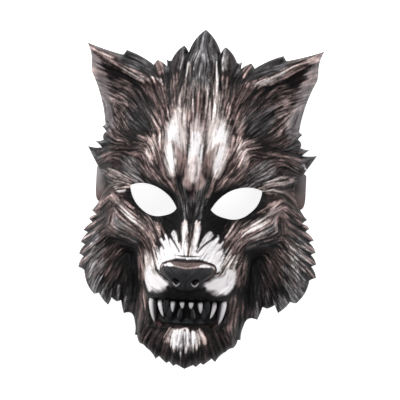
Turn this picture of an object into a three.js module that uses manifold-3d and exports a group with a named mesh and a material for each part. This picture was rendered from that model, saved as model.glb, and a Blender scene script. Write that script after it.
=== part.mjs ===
// Werewolf mask, lying face up.
// Millimetres. +X is the viewer's right, +Y runs to the crown, +Z points out of the face.
// The origin is the middle of the outline on the surface that the cheeks rest on.
// The tables measure heights on the face from the line of the eyes, up to the tip of the crest.

import * as THREE from "three";
import { mergeVertices } from "three/addons/utils/BufferGeometryUtils.js";
import Module from "manifold-3d";

const wasm = await Module();
wasm.setup();

// Driving dimensions
const HALF_WIDTH = 107.5;
const CROWN_HEIGHT = 152.5;
const DEPTH = 92;
const WALL = 3.2;
const EDGE = 2.4;
const RIM_WIDTH = 5.5;
const EYE_SPACING = 74;
const EYE_LENGTH = 44;
const EYE_HEIGHT = 29;
const NOSE_WIDTH = 45;
const EYE_DROP = 1;
const NOSTRIL_DEPTH = 2.2;
const NOSE_RISE = 5;
const NOSE_SINK = 1.5;
const TAB_THICKNESS = 2.8;
const TAB_LENGTH = 33;
const TAB_REACH = 10.5;
const STRAP_WIDTH = 10;
const STRAP_THICKNESS = 1.2;
const STRAP_HOLD = 6;
const STRAP_FOLD = 1.1;
const CLEARANCE = 0.3;

// Mesh fineness
const OUTLINE_STEP = 6.5;
const FRONT_ROWS = 60;
const FRONT_COLUMNS = 17;
const BACK_ROWS = 34;
const BACK_COLUMNS = 9;
const BAND_STEPS = 3;
const EYE_ARC_STEPS = 5;
const NOSE_STEPS = 20;
const STRAP_FOLD_STEPS = 5;

// Half length of the middle line that the rim's band leans to, as a share of CROWN_HEIGHT
const HEART = 0.4;

// Fur locks round one half of the outline, from crown to chin.
// Across: % of HALF_WIDTH. Up: % of CROWN_HEIGHT. Rims: % of DEPTH. Bows and roll: % of HALF_WIDTH.
// Each lock runs from the notch above it out to its tip and back to its own notch.
const LOCK_COLUMNS = ["tipX", "tipY", "notchX", "notchY", "rise", "fall", "tipRim", "notchRim", "roll"];
const LOCKS = {
  crest:      [0, 100, 13.4, 86, 0, 2.1, 15, 16, 11],
  crown:      [17.4, 90.2, 27.3, 81.2, 0.5, 1.3, 16, 17, 11],
  hook:       [31.7, 81.9, 30.9, 77.5, -0.9, -0.3, 17, 17, 9],
  tuft:       [39.2, 81.2, 42.2, 78.2, 0.6, 0.2, 16, 16, 8],
  ear_spike:  [65.7, 86.4, 68.5, 83.5, 1.1, -0.3, 14, 14, 6],
  ear_tip:    [99.3, 90, 94.9, 78.4, -0.6, -1.1, 11, 12, 4],
  ear_side:   [94.2, 72.5, 81.1, 42.5, 0.3, -2, 12, 11, 4],
  ear_base:   [84, 40.8, 80.4, 37.9, -0.3, -0.3, 10, 9, 7],
  temple_a:   [83.2, 35.1, 82.6, 33, 0.6, 0.2, 8, 7, 11],
  temple_b:   [90, 32, 84.1, 28.5, -0.3, -0.3, 3, 3, 11],
  temple_c:   [96.4, 29.1, 80, 11.1, -0.7, 0.3, 0, 14, 14],
  cheek_a:    [90.6, -8.9, 87.6, -12, -3.3, -0.2, 0, 0, 20],
  cheek_b:    [92.8, -13.9, 91.8, -15.9, 0.5, 0, 0, 0, 22],
  cheek_c:    [97, -20.7, 95, -22.2, -0.4, 0, 0, 0, 22],
  cheek_d:    [98.9, -27.9, 97.4, -29.5, -0.4, 0, 0, 0, 22],
  cheek_e:    [99.8, -34.8, 97.9, -36.5, -0.5, 0, 0, 0, 22],
  cheek_f:    [100, -42.6, 96.4, -44.9, -0.4, 0, 0, 0, 22],
  jowl_a:     [85, -58, 80.2, -57.2, 2, 0.3, 8, 11, 20],
  jowl_b:     [71.1, -63.8, 68.3, -59.2, 0.7, 0.3, 20, 22, 15],
  jowl_c:     [62.7, -61.4, 58.8, -60.4, 0.3, 0.2, 30, 33, 13],
  jowl_d:     [55.3, -67.9, 45, -71.8, 0.2, -3.7, 40, 50, 11],
  jaw_a:      [43.6, -79.5, 41.4, -79.6, -0.7, 0, 58, 60, 9],
  jaw_b:      [38.4, -84.2, 32.6, -86.6, 0.6, -0.7, 63, 66, 9],
  jaw_c:      [24.6, -92.5, 21.4, -90.8, -0.9, 0, 69, 70, 9],
  chin_a:     [15.1, -94.5, 12.9, -93.5, 0.2, 0, 72, 72, 9],
  chin_b:     [9.3, -95.9, 6.9, -94.9, 0, 0, 73, 73, 9],
  chin_c:     [0, -97.3, 0, -97.3, 0, 0, 73, 73, 9],
};

// Height of the bare face over one half: stations across (% of HALF_WIDTH), one row for each
// height on the face (% of CROWN_HEIGHT), heights in % of DEPTH.
const STATIONS = [0, 9, 18, 28, 39, 52, 67, 83, 100];
const SECTIONS = [
  { at: 98,   heights: [22, 20, 17, 14, 13, 13, 15, 16, 16] },
  { at: 85,   heights: [34, 33, 29, 25, 23, 24, 27, 27, 21] },
  { at: 72,   heights: [45, 44, 41, 38, 36, 35, 30, 26, 20] },
  { at: 59,   heights: [53, 51, 49, 46, 42, 39, 33, 27, 20] },
  { at: 46,   heights: [60, 58, 56, 52, 48, 42, 35, 27, 18] },
  { at: 33,   heights: [65, 63, 62, 59, 53, 46, 37, 25, 12] },
  { at: 20,   heights: [69, 67, 66, 63, 57, 50, 39, 24, 8] },
  { at: 9,    heights: [70, 68, 65, 61, 56, 49, 38, 23, 8] },
  { at: 0,    heights: [69, 66, 58, 53, 50, 45, 37, 24, 8] },
  { at: -9,   heights: [71, 67, 56, 49, 47, 44, 38, 27, 9] },
  { at: -18,  heights: [77, 72, 60, 51, 48, 46, 40, 30, 10] },
  { at: -27,  heights: [86, 82, 71, 58, 47, 44, 40, 32, 11] },
  { at: -35,  heights: [93, 91, 82, 68, 49, 41, 39, 33, 11] },
  { at: -43,  heights: [96, 95, 90, 76, 52, 40, 39, 33, 11] },
  { at: -52,  heights: [94, 93, 90, 78, 56, 41, 39, 31, 9] },
  { at: -61,  heights: [87, 86, 84, 76, 59, 45, 40, 29, 8] },
  { at: -71,  heights: [83, 82, 81, 78, 70, 56, 41, 26, 8] },
  { at: -80,  heights: [85, 84, 82, 80, 75, 65, 46, 27, 10] },
  { at: -89,  heights: [86, 85, 84, 81, 76, 67, 47, 28, 12] },
  { at: -100, heights: [84, 83, 82, 79, 75, 67, 47, 28, 12] },
];

// Ridges (positive) and grooves (negative) along straight runs of one half.
// Ends: % of HALF_WIDTH and CROWN_HEIGHT. Spread: % of HALF_WIDTH. Rise: % of DEPTH.
const FOLD_COLUMNS = ["fromX", "fromY", "toX", "toY", "spread", "rise"];
const FOLDS = {
  brow_inner:      [8, 5, 27, 11, 5, 5],
  brow_outer:      [27, 11, 52, 15, 6, 5],
  brow_knot:       [0, 14, 0, 10, 5, 3],
  frown:           [5, 4, 12, 17, 3, -2],
  forehead_middle: [0, 17, 0, 48, 4, 3],
  forehead_valley: [9, 17, 9, 46, 3, -2],
  forehead_side:   [19, 15, 18, 50, 5, 3],
  temple_valley:   [32, 20, 30, 50, 6, -3],
  crest_ridge:     [0, 60, 0, 96, 5, 4],
  crest_side:      [17, 88, 15, 60, 5, 2],
  ear_front:       [39, 68, 56, 73, 5, 6],
  ear_top:         [56, 73, 97, 89, 4, 6],
  ear_flange:      [97, 88, 90, 72, 4, 2],
  ear_side:        [90, 72, 80, 46, 5, 3],
  cheek_bone:      [68, -18, 46, -27, 6, 4],
  cheek_fold:      [46, -27, 38, -37, 6, 6],
  muzzle_side:     [38, -37, 36, -53, 6, 5],
  cheek_hollow:    [55, -34, 50, -58, 8, -5],
  bridge_side:     [13, -12, 22, -28, 4, -3],
  bridge_middle:   [0, -14, 0, -32, 3, -2],
  upper_lip:       [5, -55, 34, -56, 4, 2],
  lower_lip:       [0, -72, 26, -70, 4, 2],
  chin_tuft:       [5, -77, 7, -90, 6, 3],
  jaw_fur:         [32, -64, 38, -84, 5, 3],
};

// Dishes (negative) and swellings (positive): middle, half sizes, turn in degrees,
// rise in % of DEPTH, and how gently the border fades (share of the half size).
const DISH_COLUMNS = ["x", "y", "halfX", "halfY", "turn", "rise", "fade", "power"];
const DISHES = {
  ear_bowl:   [67, 60, 20, 15, -35, -13, 0.5, 2],
  eye_socket: [34, -2, 25, 12, 10, -3, 0.4, 2],
  mouth:      [0, -65, 31, 7.5, 0, -10, 0.25, 4],
};

// Teeth of one half: root and tip in % of HALF_WIDTH and CROWN_HEIGHT, width in % of HALF_WIDTH.
// Their bed lies under the bare face, in % of DEPTH. Root and tip stand out of it by shares of the width.
const TOOTH_COLUMNS = ["rootX", "rootY", "tipX", "tipY", "width"];
const TEETH = {
  upper_front: [3.6, -59, 3.6, -65, 6],
  upper_side:  [11, -59, 11, -65.5, 6.5],
  small_fang:  [21, -58, 18, -69.5, 7],
  great_fang:  [32, -57, 27, -72, 8.5],
  lower_front: [4.5, -71, 4.8, -64.5, 6],
  lower_side:  [13, -71, 13.5, -64, 6.5],
};

const TOOTH_BED = 9;
const TOOTH_ROOT_LIFT = 1 / 3;
const TOOTH_TIP_LIFT = 1 / 2;
const TOOTH_SIDES = 8;

// Nose pad: middle and half height in % of CROWN_HEIGHT, how much it narrows downwards,
// and how square it is (1 is an ellipse).
const NOSE_MIDDLE = -43.5;
const NOSE_HALF_HEIGHT = 8.6;
const NOSE_TAPER = 0.25;
const NOSE_SQUARE = 0.75;

// Nostril: half sizes and place across as shares of NOSE_WIDTH, place up as a share of the half height
// of the nose, turn in degrees.
const NOSTRIL = { halfLong: 0.07, halfHigh: 0.055, across: 0.2, up: -0.5, turn: 25 };

// Almond of an eye hole round its middle: start, then bend and end of each arc, as shares of half
// EYE_LENGTH and half EYE_HEIGHT.
const EYE_START = { x: -1, y: -0.5 };
const EYE_ARCS = [
  { bendX: -0.75, bendY: 0.3, x: -0.2, y: 0.72 },
  { bendX: 0.45, bendY: 1.15, x: 1, y: 0.78 },
  { bendX: 0.95, bendY: -0.1, x: 0.52, y: -0.62 },
  { bendX: 0.1, bendY: -1.2, x: -0.45, y: -0.97 },
  { bendX: -0.85, bendY: -0.85, x: -1, y: -0.5 },
];

// Free edge of a strap tab: place along the tab and reach, as shares of TAB_LENGTH and TAB_REACH.
const TAB_EDGE = [
  { along: 0, reach: 0.2 },
  { along: 0.05, reach: 0.6 },
  { along: 0.14, reach: 0.88 },
  { along: 0.32, reach: 1 },
  { along: 0.6, reach: 1 },
  { along: 0.9, reach: 1 },
  { along: 0.97, reach: 0.85 },
  { along: 1, reach: 0.5 },
];

// Middle of a strap tab on the face, in % of CROWN_HEIGHT. Places of its highest point and of the
// strap, from that middle, as shares of TAB_LENGTH.
const TAB_MIDDLE = 7.5;
const TAB_TOP = 0.17;
const STRAP_PLACE = 0.24;

/** Turns a table of bare rows into objects with named fields. */
function readTable(table, columns) {
  return Object.values(table).map((row) => Object.fromEntries(columns.map((name, i) => [name, row[i]])));
}

const across = (share) => (share / 100) * HALF_WIDTH;
const upward = (share) => (share / 100) * CROWN_HEIGHT;
const outward = (share) => (share / 100) * DEPTH;
const mix = (a, b, t) => a + (b - a) * t;
const smooth = (t) => {
  const q = Math.min(Math.max(t, 0), 1);
  return q * q * (3 - 2 * q);
};

/** Smooth curve through values at rising places, read at one place. */
function curveThrough(places, values, at) {
  const last = places.length - 1;
  const q = Math.min(Math.max(at, places[0]), places[last]);
  let i = 0;
  while (i < last - 1 && q > places[i + 1]) i += 1;
  const slope = (k) => {
    const a = Math.max(k - 1, 0);
    const b = Math.min(k + 1, last);
    return (values[b] - values[a]) / (places[b] - places[a]);
  };
  const span = places[i + 1] - places[i];
  const t = (q - places[i]) / span;
  const t2 = t * t;
  const t3 = t2 * t;
  return (2 * t3 - 3 * t2 + 1) * values[i] + (t3 - 2 * t2 + t) * span * slope(i)
    + (3 * t2 - 2 * t3) * values[i + 1] + (t3 - t2) * span * slope(i + 1);
}

/** Points of one side of a lock, bowed outward by a given rise, without its last point. */
function lockSide(from, to, bow, rimFrom, rimTo, roll) {
  const dx = to.x - from.x;
  const dy = to.y - from.y;
  const length = Math.hypot(dx, dy);
  const steps = Math.max(1, Math.round(length / OUTLINE_STEP));
  const points = [];
  for (let i = 0; i < steps; i += 1) {
    const t = i / steps;
    const out = 4 * bow * t * (1 - t);
    points.push({
      x: from.x + dx * t - (dy / length) * out,
      y: from.y + dy * t + (dx / length) * out,
      rim: mix(rimFrom, rimTo, t),
      roll,
    });
  }
  return points;
}

/** Point of the inner border of the rim that belongs to a notch. */
function rimInner(point) {
  const heartY = Math.min(Math.max(point.y, -HEART * CROWN_HEIGHT), HEART * CROWN_HEIGHT);
  const reach = Math.hypot(point.x, point.y - heartY);
  return {
    x: point.x * (1 - RIM_WIDTH / reach),
    y: point.y - (point.y - heartY) * (RIM_WIDTH / reach),
  };
}

/** Outline of one half from crown to chin, each point with its rim height, roll and inner point. */
function halfOutline() {
  const outline = [];
  let notch = null;
  let notchRim = 0;
  let inner = null;
  for (const lock of readTable(LOCKS, LOCK_COLUMNS)) {
    const tip = { x: across(lock.tipX), y: upward(lock.tipY) };
    const next = { x: across(lock.notchX), y: upward(lock.notchY) };
    const onAxis = next.x === 0;
    const run = [];
    const roll = across(lock.roll);
    if (notch) {
      run.push(...lockSide(notch, tip, across(lock.rise), notchRim, outward(lock.tipRim), roll));
    }
    if (!onAxis) {
      run.push(...lockSide(tip, next, across(lock.fall), outward(lock.tipRim), outward(lock.notchRim), roll));
    } else {
      run.push({ ...tip, rim: outward(lock.tipRim), roll });
    }
    const nextInner = onAxis ? { x: 0, y: tip.y + RIM_WIDTH } : rimInner(next);
    const start = inner || { x: 0, y: nextInner.y + RIM_WIDTH / 2 };
    run.forEach((point, i) => {
      const t = i / (onAxis ? run.length - 1 : run.length);
      outline.push({ ...point, inX: mix(start.x, nextInner.x, t), inY: mix(start.y, nextInner.y, t) });
    });
    notch = next;
    notchRim = outward(lock.notchRim);
    inner = nextInner;
  }
  let run = 0;
  outline.forEach((point, i) => {
    const before = outline[Math.max(i - 1, 0)];
    run += Math.hypot(point.inX - before.inX, point.inY - before.inY);
    point.s = run;
  });
  outline.forEach((point) => {
    point.s /= run;
  });
  return outline;
}

const OUTLINE = halfOutline();

/** Nearest place on the outline: how far it is, its rim height and its roll. */
function nearestEdge(x, y) {
  let best = { distance: Infinity, rim: 0, roll: 1 };
  for (let i = 1; i < OUTLINE.length; i += 1) {
    const a = OUTLINE[i - 1];
    const b = OUTLINE[i];
    const dx = b.x - a.x;
    const dy = b.y - a.y;
    const t = Math.min(Math.max(((x - a.x) * dx + (y - a.y) * dy) / (dx * dx + dy * dy), 0), 1);
    const distance = Math.hypot(x - a.x - dx * t, y - a.y - dy * t);
    if (distance < best.distance) {
      best = { distance, rim: mix(a.rim, b.rim, t), roll: mix(a.roll, b.roll, t) };
    }
  }
  return best;
}

const STATIONS_MM = STATIONS.map(across);
const ROWS_MM = SECTIONS.map((row) => upward(row.at)).reverse();
const HEIGHTS_MM = SECTIONS.map((row) => row.heights.map(outward)).reverse();

/** Height of the bare face, before folds and dishes. */
function bareHeight(x, y) {
  const column = HEIGHTS_MM.map((heights) => curveThrough(STATIONS_MM, heights, Math.abs(x)));
  return curveThrough(ROWS_MM, column, y);
}

const FOLD_LIST = readTable(FOLDS, FOLD_COLUMNS);
const DISH_LIST = readTable(DISHES, DISH_COLUMNS);

/** What the folds add at one place. */
function foldHeight(x, y) {
  let sum = 0;
  for (const fold of FOLD_LIST) {
    const ax = across(fold.fromX);
    const ay = upward(fold.fromY);
    const dx = across(fold.toX) - ax;
    const dy = upward(fold.toY) - ay;
    const t = Math.min(Math.max(((x - ax) * dx + (y - ay) * dy) / (dx * dx + dy * dy), 0), 1);
    const q = Math.hypot(x - ax - dx * t, y - ay - dy * t) / across(fold.spread);
    sum += outward(fold.rise) * Math.exp(-q * q);
  }
  return sum;
}

/** What the dishes and swellings add at one place. */
function dishHeight(x, y) {
  let sum = 0;
  for (const dish of DISH_LIST) {
    const turn = (dish.turn * Math.PI) / 180;
    const dx = x - across(dish.x);
    const dy = y - upward(dish.y);
    const u = Math.abs(dx * Math.cos(turn) + dy * Math.sin(turn)) / across(dish.halfX);
    const v = Math.abs(dy * Math.cos(turn) - dx * Math.sin(turn)) / upward(dish.halfY);
    const radius = (u ** dish.power + v ** dish.power) ** (1 / dish.power);
    sum += outward(dish.rise) * (1 - smooth((radius - 1 + dish.fade) / (2 * dish.fade)));
  }
  return sum;
}

/** Height of the modelled face, before it rolls down to the rim. */
const faceHeight = (x, y) => bareHeight(x, y) + foldHeight(Math.abs(x), y) + dishHeight(Math.abs(x), y);

/** Height of the front surface. */
function frontHeight(x, y) {
  const edge = nearestEdge(Math.abs(x), y);
  const low = edge.rim + EDGE;
  const q = Math.min(edge.distance / edge.roll, 1);
  return low + Math.max(faceHeight(x, y) - low, 0) * Math.sqrt(1 - (1 - q) ** 2);
}

/** Height of the back surface: a wall's thickness behind the face, on a slope too. */
function backHeight(x, y) {
  const step = 2;
  const lowest = (px, py) => Math.min(frontHeight(px, py), bareHeight(px, py));
  const here = lowest(x, y);
  const slopeX = (lowest(x + step, y) - lowest(x - step, y)) / (2 * step);
  const slopeY = (lowest(x, y + step) - lowest(x, y - step)) / (2 * step);
  return here - WALL * Math.hypot(1, slopeX, slopeY);
}

/** Whether row A steps first in a strip: where both may, the shorter diagonal wins. */
function stepsFirst(rowA, i, rowB, j) {
  const ahead = rowA[i + 1].s - rowB[j + 1].s;
  if (Math.abs(ahead) > 0.5 / FRONT_ROWS) return ahead < 0;
  const length = (a, b) => Math.hypot(a[0] - b[0], a[1] - b[1], a[2] - b[2]);
  return length(rowA[i + 1].at, rowB[j].at) < length(rowA[i].at, rowB[j + 1].at);
}

/** Collects triangles of one closed body, with shared vertices and the mirrored half. */
class Skin {
  constructor() {
    this.vertices = [];
    this.triangles = [];
    this.known = new Map();
  }

  vertex([x, y, z]) {
    const key = [x, y, z].map((value) => Math.round(value * 1000)).join(" ");
    if (!this.known.has(key)) {
      this.known.set(key, this.vertices.length / 3);
      this.vertices.push(x, y, z);
    }
    return this.known.get(key);
  }

  triangle(a, b, c) {
    const corners = [this.vertex(a), this.vertex(b), this.vertex(c)];
    if (new Set(corners).size === 3) this.triangles.push(...corners);
  }

  /** One triangle and its mirror image. */
  pair(a, b, c) {
    const mirror = ([x, y, z]) => [-x, y, z];
    this.triangle(a, b, c);
    this.triangle(mirror(a), mirror(c), mirror(b));
  }

  /** Strip between two rows of points that carry a rising place s. */
  strip(rowA, rowB) {
    let i = 0;
    let j = 0;
    while (i < rowA.length - 1 || j < rowB.length - 1) {
      if (j === rowB.length - 1 || (i < rowA.length - 1 && stepsFirst(rowA, i, rowB, j))) {
        this.pair(rowA[i].at, rowB[j].at, rowA[i + 1].at);
        i += 1;
      } else {
        this.pair(rowA[i].at, rowB[j].at, rowB[j + 1].at);
        j += 1;
      }
    }
  }
}

/** Solid from plain lists of vertices and triangles. */
function solidFrom(vertices, triangles) {
  return new wasm.Manifold(new wasm.Mesh({
    numProp: 3,
    vertProperties: new Float32Array(vertices),
    triVerts: new Uint32Array(triangles),
  }));
}

/** Solid from a three.js geometry. */
function solidOf(geometry) {
  const bare = geometry.clone();
  bare.deleteAttribute("normal");
  bare.deleteAttribute("uv");
  const merged = mergeVertices(bare, 1e-4);
  return solidFrom(merged.attributes.position.array, merged.index.array);
}

/** three.js geometry from a solid. */
function geometryOf(solid) {
  const mesh = solid.getMesh();
  const geometry = new THREE.BufferGeometry();
  geometry.setAttribute("position", new THREE.BufferAttribute(new Float32Array(mesh.vertProperties), 3));
  geometry.setIndex(new THREE.BufferAttribute(new Uint32Array(mesh.triVerts), 1));
  geometry.computeVertexNormals();
  return geometry;
}

/** Place on the inner border of the rim, read at s. */
function innerBorder(s) {
  let i = 1;
  while (i < OUTLINE.length - 1 && s > OUTLINE[i].s) i += 1;
  const a = OUTLINE[i - 1];
  const b = OUTLINE[i];
  const t = b.s > a.s ? (s - a.s) / (b.s - a.s) : 0;
  return { x: mix(a.inX, b.inX, t), y: mix(a.inY, b.inY, t) };
}

/** Rows of points from the inner border of the rim to the middle line, at one share of the way. */
function faceColumn(rows, share, height) {
  const top = OUTLINE[0].inY;
  const bottom = OUTLINE[OUTLINE.length - 1].inY;
  const column = [];
  for (let i = 0; i <= rows; i += 1) {
    const s = i / rows;
    const border = innerBorder(s);
    const x = mix(border.x, 0, share);
    const y = mix(border.y, mix(top, bottom, s), share);
    column.push({ s, at: [x, y, height(x, y)] });
  }
  return column;
}

/** The moulded shell without its holes, teeth and nose. */
function shellBody() {
  const skin = new Skin();
  const band = (t, height) => OUTLINE.map((point) => {
    const x = mix(point.x, point.inX, t);
    const y = mix(point.y, point.inY, t);
    return { s: point.s, at: [x, y, height(x, y, point)] };
  });
  const front = [];
  for (let i = 0; i <= BAND_STEPS; i += 1) front.push(band(i / BAND_STEPS, frontHeight));
  for (let i = 1; i <= FRONT_COLUMNS; i += 1) front.push(faceColumn(FRONT_ROWS, i / FRONT_COLUMNS, frontHeight));
  const rim = (x, y, point) => point.rim;
  const back = [band(0, rim), band(1, rim)];
  for (let i = 1; i <= BACK_COLUMNS; i += 1) back.push(faceColumn(BACK_ROWS, i / BACK_COLUMNS, backHeight));
  for (let i = 1; i < front.length; i += 1) skin.strip(front[i - 1], front[i]);
  skin.strip(back[0], front[0]);
  for (let i = 1; i < back.length; i += 1) skin.strip(back[i], back[i - 1]);
  return solidFrom(skin.vertices, skin.triangles);
}

/** Almond outline of one eye hole round its own middle, as a shape. */
function eyeShape() {
  const long = EYE_LENGTH / 2;
  const high = EYE_HEIGHT / 2;
  const shape = new THREE.Shape();
  shape.moveTo(EYE_START.x * long, EYE_START.y * high);
  for (const arc of EYE_ARCS) {
    shape.quadraticCurveTo(arc.bendX * long, arc.bendY * high, arc.x * long, arc.y * high);
  }
  return shape;
}

/** Prism through the wall for one eye hole. */
function eyeCutter(side) {
  const options = { depth: 2 * DEPTH, bevelEnabled: false, curveSegments: EYE_ARC_STEPS };
  const geometry = new THREE.ExtrudeGeometry(eyeShape(), options);
  const solid = solidOf(geometry).translate(EYE_SPACING / 2, -EYE_DROP, -DEPTH / 2);
  return side > 0 ? solid : solid.mirror([1, 0, 0]);
}

/** A pointed tooth that lies in the mouth, half sunk into its bed. */
function toothBody(tooth, side) {
  const root = new THREE.Vector3(side * across(tooth.rootX), upward(tooth.rootY), 0);
  const tip = new THREE.Vector3(side * across(tooth.tipX), upward(tooth.tipY), 0);
  root.z = bareHeight(root.x, root.y) - outward(TOOTH_BED) + across(tooth.width) * TOOTH_ROOT_LIFT;
  tip.z = bareHeight(tip.x, tip.y) - outward(TOOTH_BED) + across(tooth.width) * TOOTH_TIP_LIFT;
  const way = new THREE.Vector3().subVectors(tip, root);
  const geometry = new THREE.ConeGeometry(across(tooth.width) / 2, way.length(), TOOTH_SIDES);
  const turn = new THREE.Quaternion().setFromUnitVectors(new THREE.Vector3(0, 1, 0), way.clone().normalize());
  geometry.applyQuaternion(turn);
  const middle = root.clone().add(tip).multiplyScalar(0.5);
  geometry.translate(middle.x, middle.y, middle.z);
  return solidOf(geometry);
}

/** The nose pad: wide above, narrow below, standing out of the muzzle and following its round form. */
function noseBody() {
  const geometry = new THREE.SphereGeometry(1, NOSE_STEPS, Math.round(NOSE_STEPS * 0.6));
  const position = geometry.attributes.position;
  const square = (value) => Math.sign(value) * Math.abs(value) ** NOSE_SQUARE;
  for (let i = 0; i < position.count; i += 1) {
    const rise = square(position.getY(i));
    const x = square(position.getX(i)) * (NOSE_WIDTH / 2) * (1 + NOSE_TAPER * rise);
    const y = upward(NOSE_MIDDLE + NOSE_HALF_HEIGHT * rise);
    const lift = position.getZ(i) > 0 ? NOSE_RISE + NOSE_SINK / 2 : NOSE_SINK / 2;
    position.setXYZ(i, x, y, faceHeight(x, y) - NOSE_SINK / 2 + lift * square(position.getZ(i)));
  }
  return solidOf(geometry);
}

/** Blind pit of one nostril. */
function nostrilCutter(side) {
  const geometry = new THREE.SphereGeometry(1, NOSE_STEPS / 2, NOSE_STEPS / 2);
  geometry.scale(NOSE_WIDTH * NOSTRIL.halfLong, NOSE_WIDTH * NOSTRIL.halfHigh, NOSTRIL_DEPTH * 2);
  geometry.rotateZ((side * NOSTRIL.turn * Math.PI) / 180);
  const x = side * NOSE_WIDTH * NOSTRIL.across;
  const y = upward(NOSE_MIDDLE + NOSE_HALF_HEIGHT * NOSTRIL.up);
  geometry.translate(x, y, faceHeight(x, y) + NOSE_RISE);
  return solidOf(geometry);
}

/** The whole face shell. */
function faceShell() {
  let shell = shellBody();
  shell = shell.add(noseBody());
  for (const side of [-1, 1]) {
    for (const tooth of readTable(TEETH, TOOTH_COLUMNS)) shell = shell.add(toothBody(tooth, side));
    shell = shell.subtract(eyeCutter(side));
    shell = shell.subtract(nostrilCutter(side));
  }
  return geometryOf(shell);
}

/** Where the rim runs at one height on the side of the face: its inner border and its lowest underside. */
function rimAt(y) {
  const found = { inner: 0, low: Infinity };
  for (let i = 1; i < OUTLINE.length; i += 1) {
    const a = OUTLINE[i - 1];
    const b = OUTLINE[i];
    const outerShare = (y - a.y) / (b.y - a.y);
    const innerShare = (y - a.inY) / (b.inY - a.inY);
    if (outerShare >= 0 && outerShare <= 1) {
      found.low = Math.min(found.low, mix(a.rim, b.rim, outerShare));
    }
    if (innerShare >= 0 && innerShare <= 1) {
      found.inner = Math.max(found.inner, mix(a.inX, b.inX, innerShare));
      found.low = Math.min(found.low, mix(a.rim, b.rim, innerShare));
    }
  }
  return found;
}

/** Inner face of a strap tab: its top at the highest place under the rim, and its foot. */
function tabFace() {
  const rim = rimAt(upward(TAB_MIDDLE) + TAB_LENGTH * TAB_TOP);
  const top = new THREE.Vector2(rim.inner + CLEARANCE, rim.low - CLEARANCE);
  const foot = new THREE.Vector2(top.x + TAB_REACH, 0);
  return { top, foot, width: TAB_THICKNESS * Math.hypot(1, TAB_REACH / top.y) };
}

/** Section of a strap tab at one height on the face: four corners, from the rim down to the surface. */
function tabSection(y, reach) {
  const { top, foot, width } = tabFace();
  const high = Math.min(rimAt(y).low - CLEARANCE, top.y);
  const topX = mix(foot.x, top.x, high / top.y);
  const footX = mix(topX, foot.x, reach);
  return [
    { x: topX, z: high },
    { x: footX, z: 0 },
    { x: footX + width, z: 0 },
    { x: topX + width, z: high },
  ];
}

/** Strap tab: a plate that hangs from the rim at the temple and slopes out to the surface. */
function tabBody(side) {
  const skin = [];
  const triangles = [];
  const start = upward(TAB_MIDDLE) - TAB_LENGTH / 2;
  TAB_EDGE.forEach(({ along, reach }) => {
    const y = start + TAB_LENGTH * along;
    tabSection(y, reach).forEach(({ x, z }) => skin.push(x, y, z));
  });
  const last = TAB_EDGE.length - 1;
  for (let i = 0; i < last; i += 1) {
    for (let k = 0; k < 4; k += 1) {
      const a = 4 * i + k;
      const b = 4 * i + ((k + 1) % 4);
      triangles.push(a, a + 4, b, b, a + 4, b + 4);
    }
  }
  const end = 4 * last;
  triangles.push(0, 1, 2, 0, 2, 3, end, end + 2, end + 1, end, end + 3, end + 2);
  const body = solidFrom(skin, triangles);
  return side > 0 ? body : body.mirror([1, 0, 0]);
}

/** Outline of a ribbon of a given thickness along a run of points. */
function ribbonShape(points, thickness) {
  const offset = (side) => points.map((point, i) => {
    const before = points[Math.max(i - 1, 0)];
    const after = points[Math.min(i + 1, points.length - 1)];
    const first = new THREE.Vector2().subVectors(point, before).normalize();
    const second = new THREE.Vector2().subVectors(after, point).normalize();
    const way = first.clone().add(second).normalize();
    const bend = i > 0 && i < points.length - 1 ? way.dot(second) : 1;
    return new THREE.Vector2(point.x - way.y * side / bend, point.y + way.x * side / bend);
  });
  return new THREE.Shape([...offset(thickness / 2), ...offset(-thickness / 2).reverse()]);
}

/** Elastic strap: held behind both tabs, folded back at each and lying flat between them. */
function strapBody() {
  const y = upward(TAB_MIDDLE) + TAB_LENGTH * STRAP_PLACE;
  const { top, foot } = tabFace();
  const slope = foot.clone().sub(top).normalize();
  const inward = new THREE.Vector2(slope.y, -slope.x);
  const lie = CLEARANCE + STRAP_THICKNESS / 2;
  const line = foot.clone().addScaledVector(inward, lie);
  const meet = line.clone().addScaledVector(slope, (lie - line.y) / slope.y);
  const turn = Math.acos(slope.x);
  const setBack = STRAP_FOLD / Math.tan(turn / 2);
  const middle = new THREE.Vector2(meet.x - setBack, lie + STRAP_FOLD);
  const points = [meet.clone().addScaledVector(slope, -setBack - STRAP_HOLD)];
  const opening = Math.PI - turn;
  for (let i = 0; i <= STRAP_FOLD_STEPS; i += 1) {
    const angle = -Math.PI / 2 + opening * (1 - i / STRAP_FOLD_STEPS);
    points.push(new THREE.Vector2(Math.cos(angle), Math.sin(angle)).multiplyScalar(STRAP_FOLD).add(middle));
  }
  const mirrored = points.map((point) => new THREE.Vector2(-point.x, point.y)).reverse();
  const shape = ribbonShape([...points, ...mirrored], STRAP_THICKNESS);
  const geometry = new THREE.ExtrudeGeometry(shape, { depth: STRAP_WIDTH, bevelEnabled: false });
  geometry.rotateX(Math.PI / 2);
  geometry.translate(0, y + STRAP_WIDTH / 2, 0);
  return solidOf(geometry);
}

const group = new THREE.Group();

// Middle of the outline above the line of the eyes
const MIDDLE = (OUTLINE[0].y + OUTLINE[OUTLINE.length - 1].y) / 2;

/** Adds one named piece to the mask. */
function addPiece(name, geometry, color, roughness) {
  const mesh = new THREE.Mesh(geometry, new THREE.MeshStandardMaterial({ color, roughness, metalness: 0 }));
  mesh.name = name;
  mesh.position.y = -MIDDLE;
  group.add(mesh);
}

addPiece("face_shell", faceShell(), 0x4a3f3d, 0.75);
addPiece("strap_tab_left", geometryOf(tabBody(-1)), 0x77706f, 0.6);
addPiece("strap_tab_right", geometryOf(tabBody(1)), 0x77706f, 0.6);
addPiece("elastic_strap", geometryOf(strapBody()), 0x1c1b1c, 0.9);

export default group;
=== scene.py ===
"""Werewolf mask of moulded, printed foam, lying on its back: surfaces, print, strap and studio."""

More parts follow.
